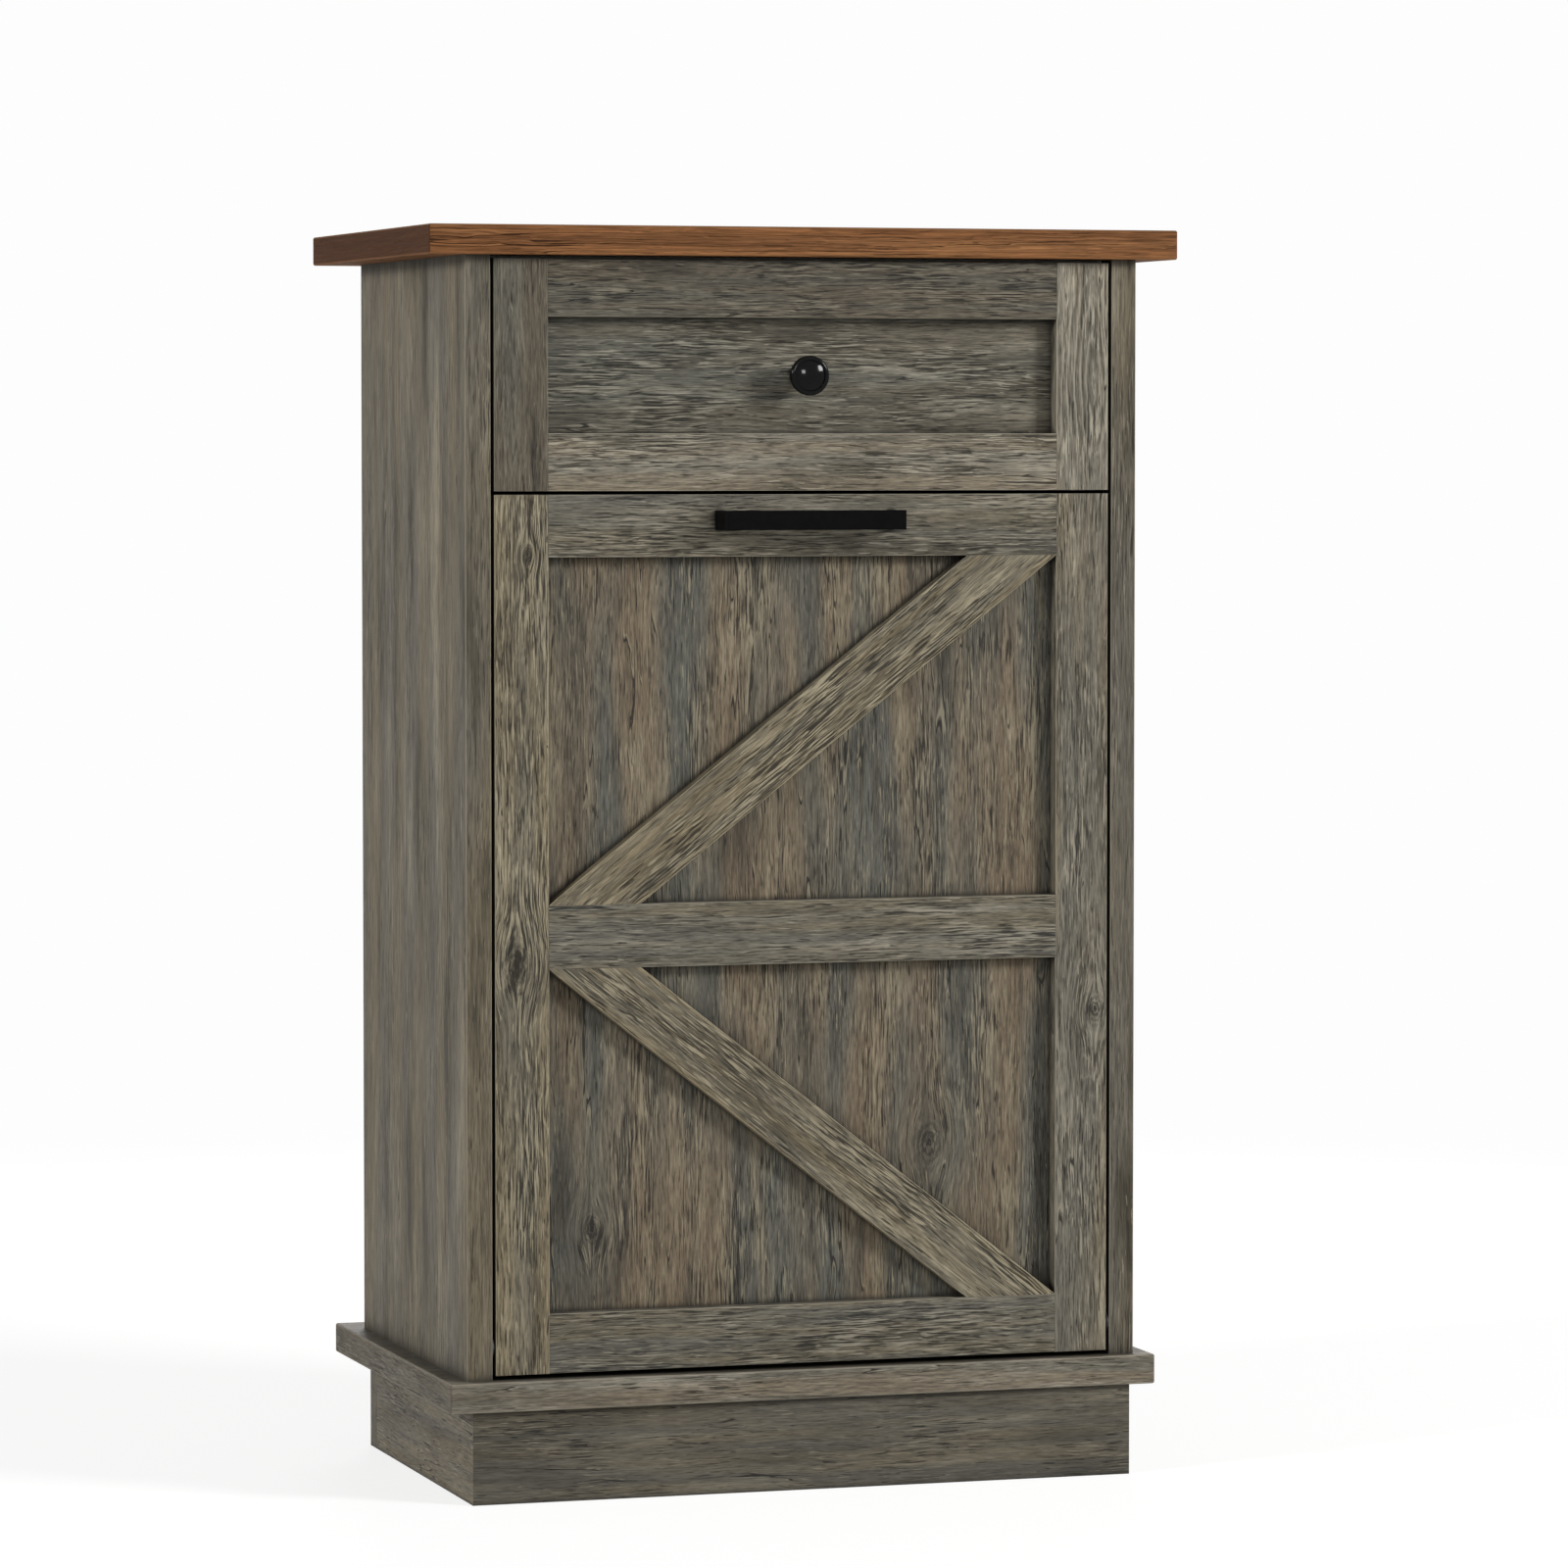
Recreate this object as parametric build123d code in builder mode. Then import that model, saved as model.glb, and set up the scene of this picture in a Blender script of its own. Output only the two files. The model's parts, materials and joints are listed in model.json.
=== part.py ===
from build123d import *
import math
import os

# Tilt-out trash cabinet, in millimetres. X is to the right, the front faces -Y and Z is up.
# The origin lies on the floor, under the middle of the whole cabinet with its handle.

os.makedirs("parts", exist_ok=True)

SIDES = {"left": -1, "right": 1}

# Carcass boards
overall_height = 900.0
body_width = 499.0
body_depth = 302.0
side_thick = 18.5
top_thick = 21.0
top_side_overhang = 28.0
top_front_overhang = 11.0
top_back_overhang = 36.0
ledge_thick = 21.5
ledge_side_overhang = 14.0
ledge_front_overhang = 8.0
ledge_back_overhang = 34.0
board_ease = 1.5
edge_ease = 0.6

# Plinth
plinth_height = 66.0
plinth_side_inset = 3.5
plinth_front_step = 2.0
plinth_back_inset = 4.5
plinth_thick = 18.0
plinth_back_thick = 20.0
corner_block_size = 40.0
corner_block_height = 50.0

# Inner boards of the carcass
divider_thick = 15.0
inner_setback = 22.0
stretcher_thick = 15.0
stretcher_width = 60.0
backboard_thick = 5.0
rabbet_width = 9.0
rabbet_play = 0.5

# Drawer front and door, both framed, and set flush into the carcass
front_gap = 2.5
door_foot_gap = 3.5
drawer_front_height = 162.8
frame_thick = 12.0
backing_thick = 6.0
stile_width = 39.3
drawer_rail_height = 40.5
door_top_rail_height = 44.0
door_mid_rail_height = 45.0
door_bottom_rail_height = 42.3
door_lower_recess_height = 244.0
brace_width = 41.6

# Handle and knob
handle_spacing = 128.0
handle_leg = 6.2
handle_height = 13.8
handle_reach = 26.5
handle_bar_thick = 6.5
handle_drop = 18.2
handle_chamfer = 0.7
knob_radius = 14.2
knob_reach = 26.0
knob_foot_radius = 8.0
knob_foot_thick = 2.5
knob_stem_radius = 6.5
knob_rim_band = 2.0
knob_rim_round = 2.0
knob_rim_land = 1.2
knob_groove = 0.7
knob_crown = 1.5

# Drawer box
box_gap = 12.5
box_side_thick = 12.0
box_side_height = 110.0
box_end_play = 2.0
box_bottom_thick = 4.0
groove_depth = 5.0
groove_lift = 9.0
groove_play = 0.5
seat_screw_gap = 1.5

# Roller runners under the drawer, a cabinet member and a drawer member each side
runner_front_gap = 4.0
runner_back_gap = 25.0
runner_screw_count = 3
runner_lift = 6.0
runner_steel = 1.2
runner_bend = 1.2
runner_flange = 10.0
runner_reach_in = 2.4
seat_lift = 6.8
keeper_play = 0.5
roller_radius = 8.5
roller_width = 6.0
roller_play = 0.3
roller_inset = 12.0
roller_offset = 3.6
roller_dish_depth = 1.0
roller_dish_wall = 1.5
hub_play = 0.2
axle_radius = 2.0
axle_play = 0.08
axle_boss_radius = 4.0
axle_head_radius = 3.5
axle_head_thick = 0.7

# Bin holder behind the door
holder_gap = 11.0
holder_thick = 12.0
holder_back_gap = 39.0
holder_lift = 5.0
holder_front_height = 384.0
holder_rear_height = 264.0
holder_level_length = 60.0
holder_round = 25.0
holder_rail_height = 80.0
holder_rail_drop = 12.0
door_screw_count = 3

# Door pivot, and the quadrant stays that limit its tilt
pivot_wall = 1.0
pivot_lift = 20.0
pivot_radius = 3.0
pivot_play = 0.05
pivot_sink = 25.0
pivot_engagement = 9.0
bushing_wall = 2.0
bushing_flange_wall = 2.5
bushing_flange_thick = 1.2
bushing_length = 12.0
stay_radius = 170.0
stay_band = 20.0
stay_steel = 2.0
stay_pin_angle = 60.0
door_tilt = 30.0
stay_pin_radius = 3.0
stay_slot_play = 0.4
stay_tail_angle = 9.0
stay_collar_radius = 5.5
stay_collar_gap = 0.5
stay_pin_sink = 12.0

# Catch that holds the door shut
catch_width = 28.0
catch_ear = 9.0
catch_ear_thick = 3.0
catch_ear_offset = 5.5
catch_height = 14.0
catch_depth = 22.0
catch_gap = 0.3
strike_thick = 1.5
strike_height = 13.0
strike_margin = 4.5
strike_round = 2.25

# Cam fittings: a bolt stands in one board and a cam in the other draws it tight
cam_radius = 7.5
cam_past_bolt = 4.5
cam_reach = 34.0
cam_play = 0.1
cam_cross_size = 8.0
cam_cross_width = 1.6
cam_cross_depth = 1.5
cam_front_inset = 70.0
cam_rear_inset = 62.0
level_bolt_inset = 50.0
bolt_radius = 3.4
bolt_play = 0.1
bolt_thread_radius = 3.0
bolt_neck_radius = 2.2
bolt_head_radius = 3.2
bolt_sink = 11.0
bolt_shank = 26.0
bolt_neck = 7.0
bolt_head = 4.0

# Screws
fit_play = 0.05
screw_radius = 1.75
screw_head_radius = 3.5
screw_head_thick = 1.0
screw_grip = 13.0
rim_screw_inset = 40.0
rim_screw_count = 5
bolt_on_radius = 2.0
bolt_on_head_radius = 4.0
bolt_on_head_thick = 2.0
bolt_on_grip = 9.0
screw_end_inset = 32.0
box_screw_inset = 20.0
frame_screw_inset = 8.5
frame_screw_grip = 8.0

# Places worked out from the sizes above
front = (max(handle_reach, top_front_overhang) - body_depth - top_back_overhang) / 2
back = front + body_depth
half_body = body_width / 2
inner = half_body - side_thick
ledge_top = plinth_height + ledge_thick
top_under = overall_height - top_thick
recess = front + frame_thick
fronts_back = recess + backing_thick
half_front = inner - front_gap
stile_inner = half_front - stile_width
drawer_top = top_under - front_gap
drawer_foot = drawer_top - drawer_front_height
door_top = drawer_foot - front_gap
door_foot = ledge_top + door_foot_gap
lower_recess_foot = door_foot + door_bottom_rail_height
mid_rail_foot = lower_recess_foot + door_lower_recess_height
upper_recess_foot = mid_rail_foot + door_mid_rail_height
upper_recess_top = door_top - door_top_rail_height
backboard_front = back - backboard_thick
half_backboard = inner + rabbet_width - rabbet_play
inner_front = front + inner_setback
knob_level = (drawer_foot + drawer_top) / 2
handle_level = door_top - handle_drop
divider_foot = door_top - divider_thick
stretcher_foot = top_under - stretcher_thick
rear_stretcher_front = backboard_front - stretcher_width


def level(z):
    """The level plane at height z, facing up."""
    return Plane.XY.offset(z)


def facing_front(y):
    """The upright plane at depth y, facing the front, with X and Z as its own directions."""
    return Plane.XZ.offset(-y)


def facing_right(x):
    """The upright plane at x, facing right, with Y and Z as its own directions."""
    return Plane.YZ.offset(x)


def inside(sign, depth):
    """The upright plane that lies a depth inside one side panel's inner face."""
    return facing_right(sign * (inner - depth))


def span(u_low, u_high, v_low, v_high):
    """Draw the rectangle between two pairs of limits on the sketch in hand."""
    with Locations(((u_low + u_high) / 2, (v_low + v_high) / 2)):
        Rectangle(u_high - u_low, v_high - v_low)


def bent_sheet(corners):
    """Draw the section of a bent steel strip along the middle line through some corners."""
    with BuildLine() as middle:
        FilletPolyline(*corners, radius=runner_bend)
    trace(middle.edges(), line_width=runner_steel)


def rods(plane, places, radius, length, mode=Mode.ADD):
    """Add or cut round rods that start on a plane and run along its normal."""
    with BuildSketch(plane) as ends:
        with Locations(*places):
            Circle(radius)
    extrude(ends.sketch, amount=length, mode=mode)


def screws(plane, places, length, way=1):
    """Add screws whose heads lie on a plane, on the side that way gives, and whose shanks go in."""
    rods(plane, places, screw_head_radius, way * screw_head_thick)
    rods(plane, places, screw_radius, -way * length)


def screw_holes(plane, places, length):
    """Cut the holes of screws, from a plane along its normal."""
    rods(plane, places, screw_radius + fit_play, length, Mode.SUBTRACT)


def save(piece, name):
    """Label a finished piece and write it as a file of its own."""
    piece.part.label = name
    export_step(piece.part, f"parts/{name}.step")


def spread(low, high, count):
    """Evenly spaced values from low to high, both of them among the values."""
    return [low + step * (high - low) / (count - 1) for step in range(count)]


# Upright bolts tie the side panels to the top board and to the ledge board.
cam_depths = [front + cam_front_inset, back - cam_rear_inset]
bolt_line = half_body - side_thick / 2
upright_places = [(sign * bolt_line, y) for sign in SIDES.values() for y in cam_depths]
upright_cams = [(y, z) for y in cam_depths for z in (ledge_top + cam_reach, top_under - cam_reach)]

# Level bolts tie the divider and the two stretchers to the side panels.
level_boards = {
    "divider_shelf": (divider_foot, divider_thick, inner_front, backboard_front),
    "front_stretcher": (stretcher_foot, stretcher_thick, inner_front, inner_front + stretcher_width),
    "rear_stretcher": (stretcher_foot, stretcher_thick, rear_stretcher_front, backboard_front),
}
level_bolt_depths = {
    "divider_shelf": [inner_front + level_bolt_inset, backboard_front - level_bolt_inset],
    "front_stretcher": [inner_front + stretcher_width / 2],
    "rear_stretcher": [backboard_front - stretcher_width / 2],
}
level_bolt_places = [
    (y, foot + thick / 2)
    for name, (foot, thick, *_) in level_boards.items()
    for y in level_bolt_depths[name]
]

# Roller runners: levels of the channel, the rollers and the drawer member
runner_foot = door_top + runner_lift
runner_front = fronts_back + runner_front_gap
runner_back = backboard_front - runner_back_gap
rear_roller_level = runner_foot + runner_steel + roller_play + roller_radius
front_roller_level = rear_roller_level + roller_play
running_level = front_roller_level + roller_radius + roller_play
runner_top = running_level + runner_steel + keeper_play + runner_steel
seat_foot = runner_foot + seat_lift
front_axle = (runner_front + roller_inset, front_roller_level)
rear_axle = (runner_back - roller_inset, rear_roller_level)
runner_screw_level = rear_roller_level
screw_line_front = runner_front + screw_end_inset
screw_line_back = runner_back - screw_end_inset
runner_screw_depths = spread(screw_line_front, screw_line_back, runner_screw_count)
runner_screw_places = [(y, runner_screw_level) for y in runner_screw_depths]

# Drawer box
box_outer = inner - box_gap
box_inner = box_outer - box_side_thick
box_foot = seat_foot + runner_steel
seat_screw_grip = groove_lift - seat_screw_gap
box_top = box_foot + box_side_height
box_front_back = fronts_back + box_side_thick
box_back = runner_back - box_end_play
bottom_foot = box_foot + groove_lift
bottom_top = bottom_foot + box_bottom_thick
box_screw_levels = [bottom_top + box_screw_inset, box_top - box_screw_inset]
box_screw_lines = [fronts_back + box_side_thick / 2, box_back - box_side_thick / 2]
box_screw_places = [(y, z) for y in box_screw_lines for z in box_screw_levels]
frame_screw_line = box_inner - frame_screw_inset
frame_screw_places = [(sign * frame_screw_line, z) for sign in SIDES.values() for z in box_screw_levels]

# Door pivot and stays, in the door's own plane of tilt
pivot_y = recess - pivot_wall - pivot_radius
pivot_z = door_foot + pivot_lift
bushing_radius = pivot_radius + bushing_wall
slot_radius = stay_pin_radius + stay_slot_play
slot_start = stay_pin_angle - door_tilt


def on_stay(angle, radius=stay_radius):
    """The point at an angle and a radius about the door's pivot, on a plane that faces right."""
    turn = math.radians(angle)
    return (pivot_y + radius * math.cos(turn), pivot_z + radius * math.sin(turn))


def stay_outline(plane, half_width, start, end):
    """A band along the stay's arc with round ends, as a sketch on a plane."""
    middle = (start + end) / 2
    cap = math.degrees(half_width / stay_radius)
    outer = stay_radius + half_width
    near = stay_radius - half_width
    with BuildSketch(plane) as band:
        with BuildLine():
            ThreePointArc(on_stay(start, outer), on_stay(middle, outer), on_stay(end, outer))
            ThreePointArc(on_stay(end, outer), on_stay(end + cap), on_stay(end, near))
            ThreePointArc(on_stay(end, near), on_stay(middle, near), on_stay(start, near))
            ThreePointArc(on_stay(start, near), on_stay(start - cap), on_stay(start, outer))
        make_face()
    return band.sketch


guide_pin_place = on_stay(stay_pin_angle)
stay_screw_places = [on_stay(slot_start - stay_tail_angle), on_stay(stay_pin_angle + stay_tail_angle)]
stay_face = holder_gap - stay_steel

# Bin holder
holder_outer = inner - holder_gap
holder_inner = holder_outer - holder_thick
holder_foot = door_foot + holder_lift
holder_back = backboard_front - holder_back_gap
holder_front_top = holder_foot + holder_front_height
holder_rear_top = holder_foot + holder_rear_height
rail_top = holder_rear_top - holder_rail_drop
rail_foot = rail_top - holder_rail_height
door_screw_line = holder_outer - holder_thick / 2
lowest_door_screw = holder_foot + screw_end_inset
highest_door_screw = holder_front_top - screw_end_inset
door_screw_levels = spread(lowest_door_screw, highest_door_screw, door_screw_count)
door_screw_places = [(sign * door_screw_line, z) for sign in SIDES.values() for z in door_screw_levels]
shelf_screw_depths = [fronts_back + screw_end_inset, holder_back - screw_end_inset]
shelf_screw_places = [(y, holder_foot + holder_thick / 2) for y in shelf_screw_depths]
rail_screw_levels = [rail_foot + box_screw_inset, rail_top - box_screw_inset]
rail_screw_places = [(holder_back - holder_thick / 2, z) for z in rail_screw_levels]
holder_side_screw_places = shelf_screw_places + rail_screw_places
handle_places = [(sign * handle_spacing / 2, handle_level) for sign in SIDES.values()]

# Top board
with BuildPart() as top_board:
    with BuildSketch(level(top_under)):
        span(
            -half_body - top_side_overhang,
            half_body + top_side_overhang,
            front - top_front_overhang,
            back + top_back_overhang,
        )
    extrude(amount=top_thick)
    fillet(top_board.edges(), radius=board_ease)
    rods(level(top_under), upright_places, bolt_thread_radius + fit_play, bolt_sink, Mode.SUBTRACT)
save(top_board, "top_board")

# Ledge board
with BuildPart() as ledge_board:
    with BuildSketch(level(plinth_height)):
        span(
            -half_body - ledge_side_overhang,
            half_body + ledge_side_overhang,
            front - ledge_front_overhang,
            back + ledge_back_overhang,
        )
    extrude(amount=ledge_thick)
    fillet(ledge_board.edges(), radius=board_ease)
    rods(level(ledge_top), upright_places, bolt_thread_radius + fit_play, -bolt_sink, Mode.SUBTRACT)
save(ledge_board, "ledge_board")

# Side panels
rim_line = (inner + half_backboard) / 2
rim_screw_levels = spread(ledge_top + rim_screw_inset, top_under - rim_screw_inset, rim_screw_count)
rim_screw_places = [(sign * rim_line, z) for sign in SIDES.values() for z in rim_screw_levels]
side_cam_depth = side_thick / 2 + cam_past_bolt

for side, sign in SIDES.items():
    inner_face = inside(sign, 0)
    own_uprights = [place for place in upright_places if place[0] * sign > 0]
    own_rim_screws = [place for place in rim_screw_places if place[0] * sign > 0]
    with BuildPart() as side_panel:
        with BuildSketch(inner_face):
            span(front, back, ledge_top, top_under)
        extrude(amount=sign * side_thick)
        fillet(side_panel.edges().filter_by(Axis.Z).group_by(Axis.Y)[0], radius=edge_ease)
        with BuildSketch(inner_face):
            span(backboard_front, back, ledge_top, top_under)
        extrude(amount=sign * rabbet_width, mode=Mode.SUBTRACT)
        rods(inner_face, upright_cams, cam_radius, sign * side_cam_depth, Mode.SUBTRACT)
        rods(level(ledge_top), own_uprights, bolt_radius + bolt_play, cam_reach, Mode.SUBTRACT)
        rods(level(top_under), own_uprights, bolt_radius + bolt_play, -cam_reach, Mode.SUBTRACT)
        rods(
            inner_face,
            level_bolt_places,
            bolt_thread_radius + fit_play,
            sign * bolt_sink,
            Mode.SUBTRACT,
        )
        rods(
            inner_face,
            [(pivot_y, pivot_z)],
            bushing_radius + fit_play,
            sign * bushing_length,
            Mode.SUBTRACT,
        )
        rods(
            inner_face,
            [guide_pin_place],
            stay_pin_radius + fit_play,
            sign * stay_pin_sink,
            Mode.SUBTRACT,
        )
        screw_holes(inner_face, runner_screw_places, sign * screw_grip)
        screw_holes(facing_front(backboard_front), own_rim_screws, screw_grip)
    save(side_panel, f"{side}_side_panel")

# Back panel, let into the rabbets of the side panels
with BuildPart() as back_panel:
    with BuildSketch(facing_front(back)):
        span(-half_backboard, half_backboard, ledge_top, top_under)
    extrude(amount=backboard_thick)
    screw_holes(facing_front(back), rim_screw_places, backboard_thick)
save(back_panel, "back_panel")

with BuildPart() as back_panel_screws:
    screws(facing_front(back), rim_screw_places, backboard_thick + screw_grip, way=-1)
save(back_panel_screws, "back_panel_screws")

# Divider and stretchers, bored at both ends for their cams and bolts
for name, (foot, thick, front_edge, back_edge) in level_boards.items():
    depths = level_bolt_depths[name]
    with BuildPart() as flat_board:
        with BuildSketch(level(foot)):
            span(-inner, inner, front_edge, back_edge)
        extrude(amount=thick)
        for sign in SIDES.values():
            cams = [(sign * (inner - cam_reach), y) for y in depths]
            rods(level(foot), cams, cam_radius, thick / 2 + cam_past_bolt, Mode.SUBTRACT)
            ends = [(y, foot + thick / 2) for y in depths]
            rods(inside(sign, 0), ends, bolt_radius + bolt_play, -sign * cam_reach, Mode.SUBTRACT)
    save(flat_board, name)


def cams(plane, places, length):
    """Add cam locks that go in from a plane, each with a cross slot in its face."""
    rods(plane, places, cam_radius - cam_play, length)
    with BuildSketch(plane) as crosses:
        with Locations(*places):
            Rectangle(cam_cross_size, cam_cross_width)
            Rectangle(cam_cross_width, cam_cross_size)
    extrude(crosses.sketch, amount=math.copysign(cam_cross_depth, length), mode=Mode.SUBTRACT)


def bolts(seam, places, way):
    """Add cam bolts that cross a seam between two boards, with their cams on the side of way."""
    rods(seam, places, bolt_thread_radius, -way * bolt_sink)
    rods(seam, places, bolt_radius, way * bolt_shank)
    rods(seam.offset(way * bolt_shank), places, bolt_neck_radius, way * bolt_neck)
    rods(seam.offset(way * (bolt_shank + bolt_neck)), places, bolt_head_radius, way * bolt_head)


bolt_past_seam = bolt_shank + bolt_neck + bolt_head

with BuildPart() as cam_locks:
    for sign in SIDES.values():
        cams(inside(sign, 0), upright_cams, sign * side_cam_depth)
        for name, (foot, thick, *_) in level_boards.items():
            places = [(sign * (inner - cam_reach), y) for y in level_bolt_depths[name]]
            cams(level(foot), places, thick / 2 + cam_past_bolt)
        rods(
            inside(sign, 0),
            level_bolt_places,
            bolt_radius + bolt_play,
            -sign * (bolt_past_seam + bolt_play),
            Mode.SUBTRACT,
        )
    for seam_level, way in ((ledge_top, 1), (top_under, -1)):
        length = way * (bolt_past_seam + bolt_play)
        rods(level(seam_level), upright_places, bolt_radius + bolt_play, length, Mode.SUBTRACT)
save(cam_locks, "cam_locks")

with BuildPart() as cam_bolts:
    bolts(level(ledge_top), upright_places, 1)
    bolts(level(top_under), upright_places, -1)
    for sign in SIDES.values():
        bolts(inside(sign, 0), level_bolt_places, -sign)
save(cam_bolts, "cam_bolts")

# Plinth: the front corners are mitred, and the back board runs the full width
half_plinth = half_body - plinth_side_inset
plinth_front_face = front - plinth_front_step
plinth_back_face = back - plinth_back_inset
plinth_back_inner = plinth_back_face - plinth_back_thick
plinth_front_inner = plinth_front_face + plinth_thick
half_plinth_inner = half_plinth - plinth_thick

with BuildPart() as plinth_front:
    with BuildSketch(level(0)):
        with BuildLine():
            Polyline(
                (-half_plinth, plinth_front_face),
                (half_plinth, plinth_front_face),
                (half_plinth_inner, plinth_front_inner),
                (-half_plinth_inner, plinth_front_inner),
                close=True,
            )
        make_face()
    extrude(amount=plinth_height)
save(plinth_front, "plinth_front")

for side, sign in SIDES.items():
    with BuildPart() as plinth_side:
        with BuildSketch(level(0)):
            with BuildLine():
                Polyline(
                    (sign * half_plinth, plinth_front_face),
                    (sign * half_plinth, plinth_back_inner),
                    (sign * half_plinth_inner, plinth_back_inner),
                    (sign * half_plinth_inner, plinth_front_inner),
                    close=True,
                )
            make_face()
        extrude(amount=plinth_height)
    save(plinth_side, f"plinth_{side}")

with BuildPart() as plinth_back:
    with BuildSketch(level(0)):
        span(-half_plinth, half_plinth, plinth_back_inner, plinth_back_face)
    extrude(amount=plinth_height)
save(plinth_back, "plinth_back")

with BuildPart() as plinth_corner_blocks:
    with BuildSketch(level(plinth_height)):
        for sign in SIDES.values():
            for corner_y, way in ((plinth_front_inner, 1), (plinth_back_inner, -1)):
                corner_x = sign * half_plinth_inner
                with BuildLine():
                    Polyline(
                        (corner_x, corner_y),
                        (corner_x - sign * corner_block_size, corner_y),
                        (corner_x, corner_y + way * corner_block_size),
                        close=True,
                    )
                make_face()
    extrude(amount=-corner_block_height)
save(plinth_corner_blocks, "plinth_corner_blocks")


def axle(sign, place, web, near, far):
    """Add a roller's boss, pin and head to a runner, from its web towards the depth far."""
    way = math.copysign(axle_head_thick, far - near)
    rods(inside(sign, web), [place], axle_boss_radius, -sign * (near - web))
    rods(inside(sign, near), [place], axle_radius, -sign * (far - near))
    rods(inside(sign, far), [place], axle_head_radius, -sign * way)


roller_near = roller_offset - hub_play
roller_far = roller_offset + roller_width + hub_play
half_steel = runner_steel / 2
runner_length = runner_back - runner_front
seat_reach = box_gap + box_side_thick
seat_screw_depth = box_gap + box_side_thick / 2
drawer_web = box_gap - runner_steel
drawer_runner_front = fronts_back


def seat_places(sign):
    """The places, seen from above, of the screws that hold one drawer side on its runner."""
    return [(sign * (inner - seat_screw_depth), y) for y in runner_screw_depths]



for side, sign in SIDES.items():
    # Cabinet member: a channel, open to the drawer, with its roller at the front
    with BuildPart() as cabinet_runner:
        with BuildSketch(facing_front(runner_back)):
            bent_sheet([
                (sign * (inner - runner_flange), runner_foot + half_steel),
                (sign * (inner - half_steel), runner_foot + half_steel),
                (sign * (inner - half_steel), runner_top - half_steel),
                (sign * (inner - runner_flange), runner_top - half_steel),
            ])
        extrude(amount=runner_length)
        screw_holes(inside(sign, 0), runner_screw_places, -sign * runner_steel)
        axle(sign, front_axle, runner_steel, roller_near, roller_far)
    save(cabinet_runner, f"{side}_cabinet_runner")

    # Drawer member: a seat under the drawer side and a flange that runs on the front roller
    with BuildPart() as drawer_runner:
        with BuildSketch(facing_front(box_back)):
            bent_sheet([
                (sign * (inner - seat_reach), seat_foot + half_steel),
                (sign * (inner - box_gap + half_steel), seat_foot + half_steel),
                (sign * (inner - box_gap + half_steel), running_level + half_steel),
                (sign * (inner - runner_reach_in), running_level + half_steel),
            ])
        extrude(amount=box_back - drawer_runner_front)
        screw_holes(level(seat_foot), seat_places(sign), runner_steel)
        axle(sign, rear_axle, drawer_web, roller_far, roller_near)
    save(drawer_runner, f"{side}_drawer_runner")

    # Rollers, each with a bore and a shallow dish in both faces
    for end, place in (("front", front_axle), ("rear", rear_axle)):
        with BuildPart() as roller:
            rods(inside(sign, roller_offset), [place], roller_radius, -sign * roller_width)
            fillet(roller.edges(), radius=edge_ease)
            for depth, way in ((roller_offset, -1), (roller_offset + roller_width, 1)):
                with BuildSketch(inside(sign, depth)) as dish:
                    with Locations(place):
                        Circle(roller_radius - roller_dish_wall)
                        Circle(axle_boss_radius, mode=Mode.SUBTRACT)
                extrude(amount=way * sign * roller_dish_depth, mode=Mode.SUBTRACT)
            rods(
                inside(sign, roller_offset),
                [place],
                axle_radius + axle_play,
                -sign * roller_width,
                Mode.SUBTRACT,
            )
        save(roller, f"{end}_{side}_roller")

with BuildPart() as cabinet_runner_screws:
    for sign in SIDES.values():
        screws(inside(sign, runner_steel), runner_screw_places, runner_steel + screw_grip, way=-sign)
save(cabinet_runner_screws, "cabinet_runner_screws")

with BuildPart() as drawer_runner_screws:
    for sign in SIDES.values():
        screws(level(seat_foot), seat_places(sign), runner_steel + seat_screw_grip, way=-1)
save(drawer_runner_screws, "drawer_runner_screws")

# Drawer front: a backing board with a frame of four strips on it
with BuildPart() as drawer_front_panel:
    with BuildSketch(facing_front(fronts_back)):
        span(-half_front, half_front, drawer_foot, drawer_top)
    extrude(amount=backing_thick)
    screw_holes(facing_front(fronts_back), frame_screw_places, backing_thick)
    rods(
        facing_front(fronts_back),
        [(0, knob_level)],
        bolt_on_radius + fit_play,
        backing_thick,
        Mode.SUBTRACT,
    )
save(drawer_front_panel, "drawer_front_panel")


def long_front_edges(strip, along):
    """The two long edges of a frame strip's face."""
    return strip.faces().sort_by(Axis.Y)[0].edges().filter_by(along)


for side, sign in SIDES.items():
    with BuildPart() as stile:
        with BuildSketch(facing_front(recess)):
            span(*sorted((sign * stile_inner, sign * half_front)), drawer_foot, drawer_top)
        extrude(amount=frame_thick)
        fillet(long_front_edges(stile, Axis.Z), radius=edge_ease)
        own_screws = [place for place in frame_screw_places if place[0] * sign > 0]
        screw_holes(facing_front(recess), own_screws, frame_screw_grip)
    save(stile, f"drawer_{side}_stile")

drawer_rails = {
    "drawer_bottom_rail": (drawer_foot, drawer_foot + drawer_rail_height),
    "drawer_top_rail": (drawer_top - drawer_rail_height, drawer_top),
}
for name, (foot, top) in drawer_rails.items():
    with BuildPart() as rail:
        with BuildSketch(facing_front(recess)):
            span(-stile_inner, stile_inner, foot, top)
        extrude(amount=frame_thick)
        fillet(long_front_edges(rail, Axis.X), radius=edge_ease)
    save(rail, name)

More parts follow.
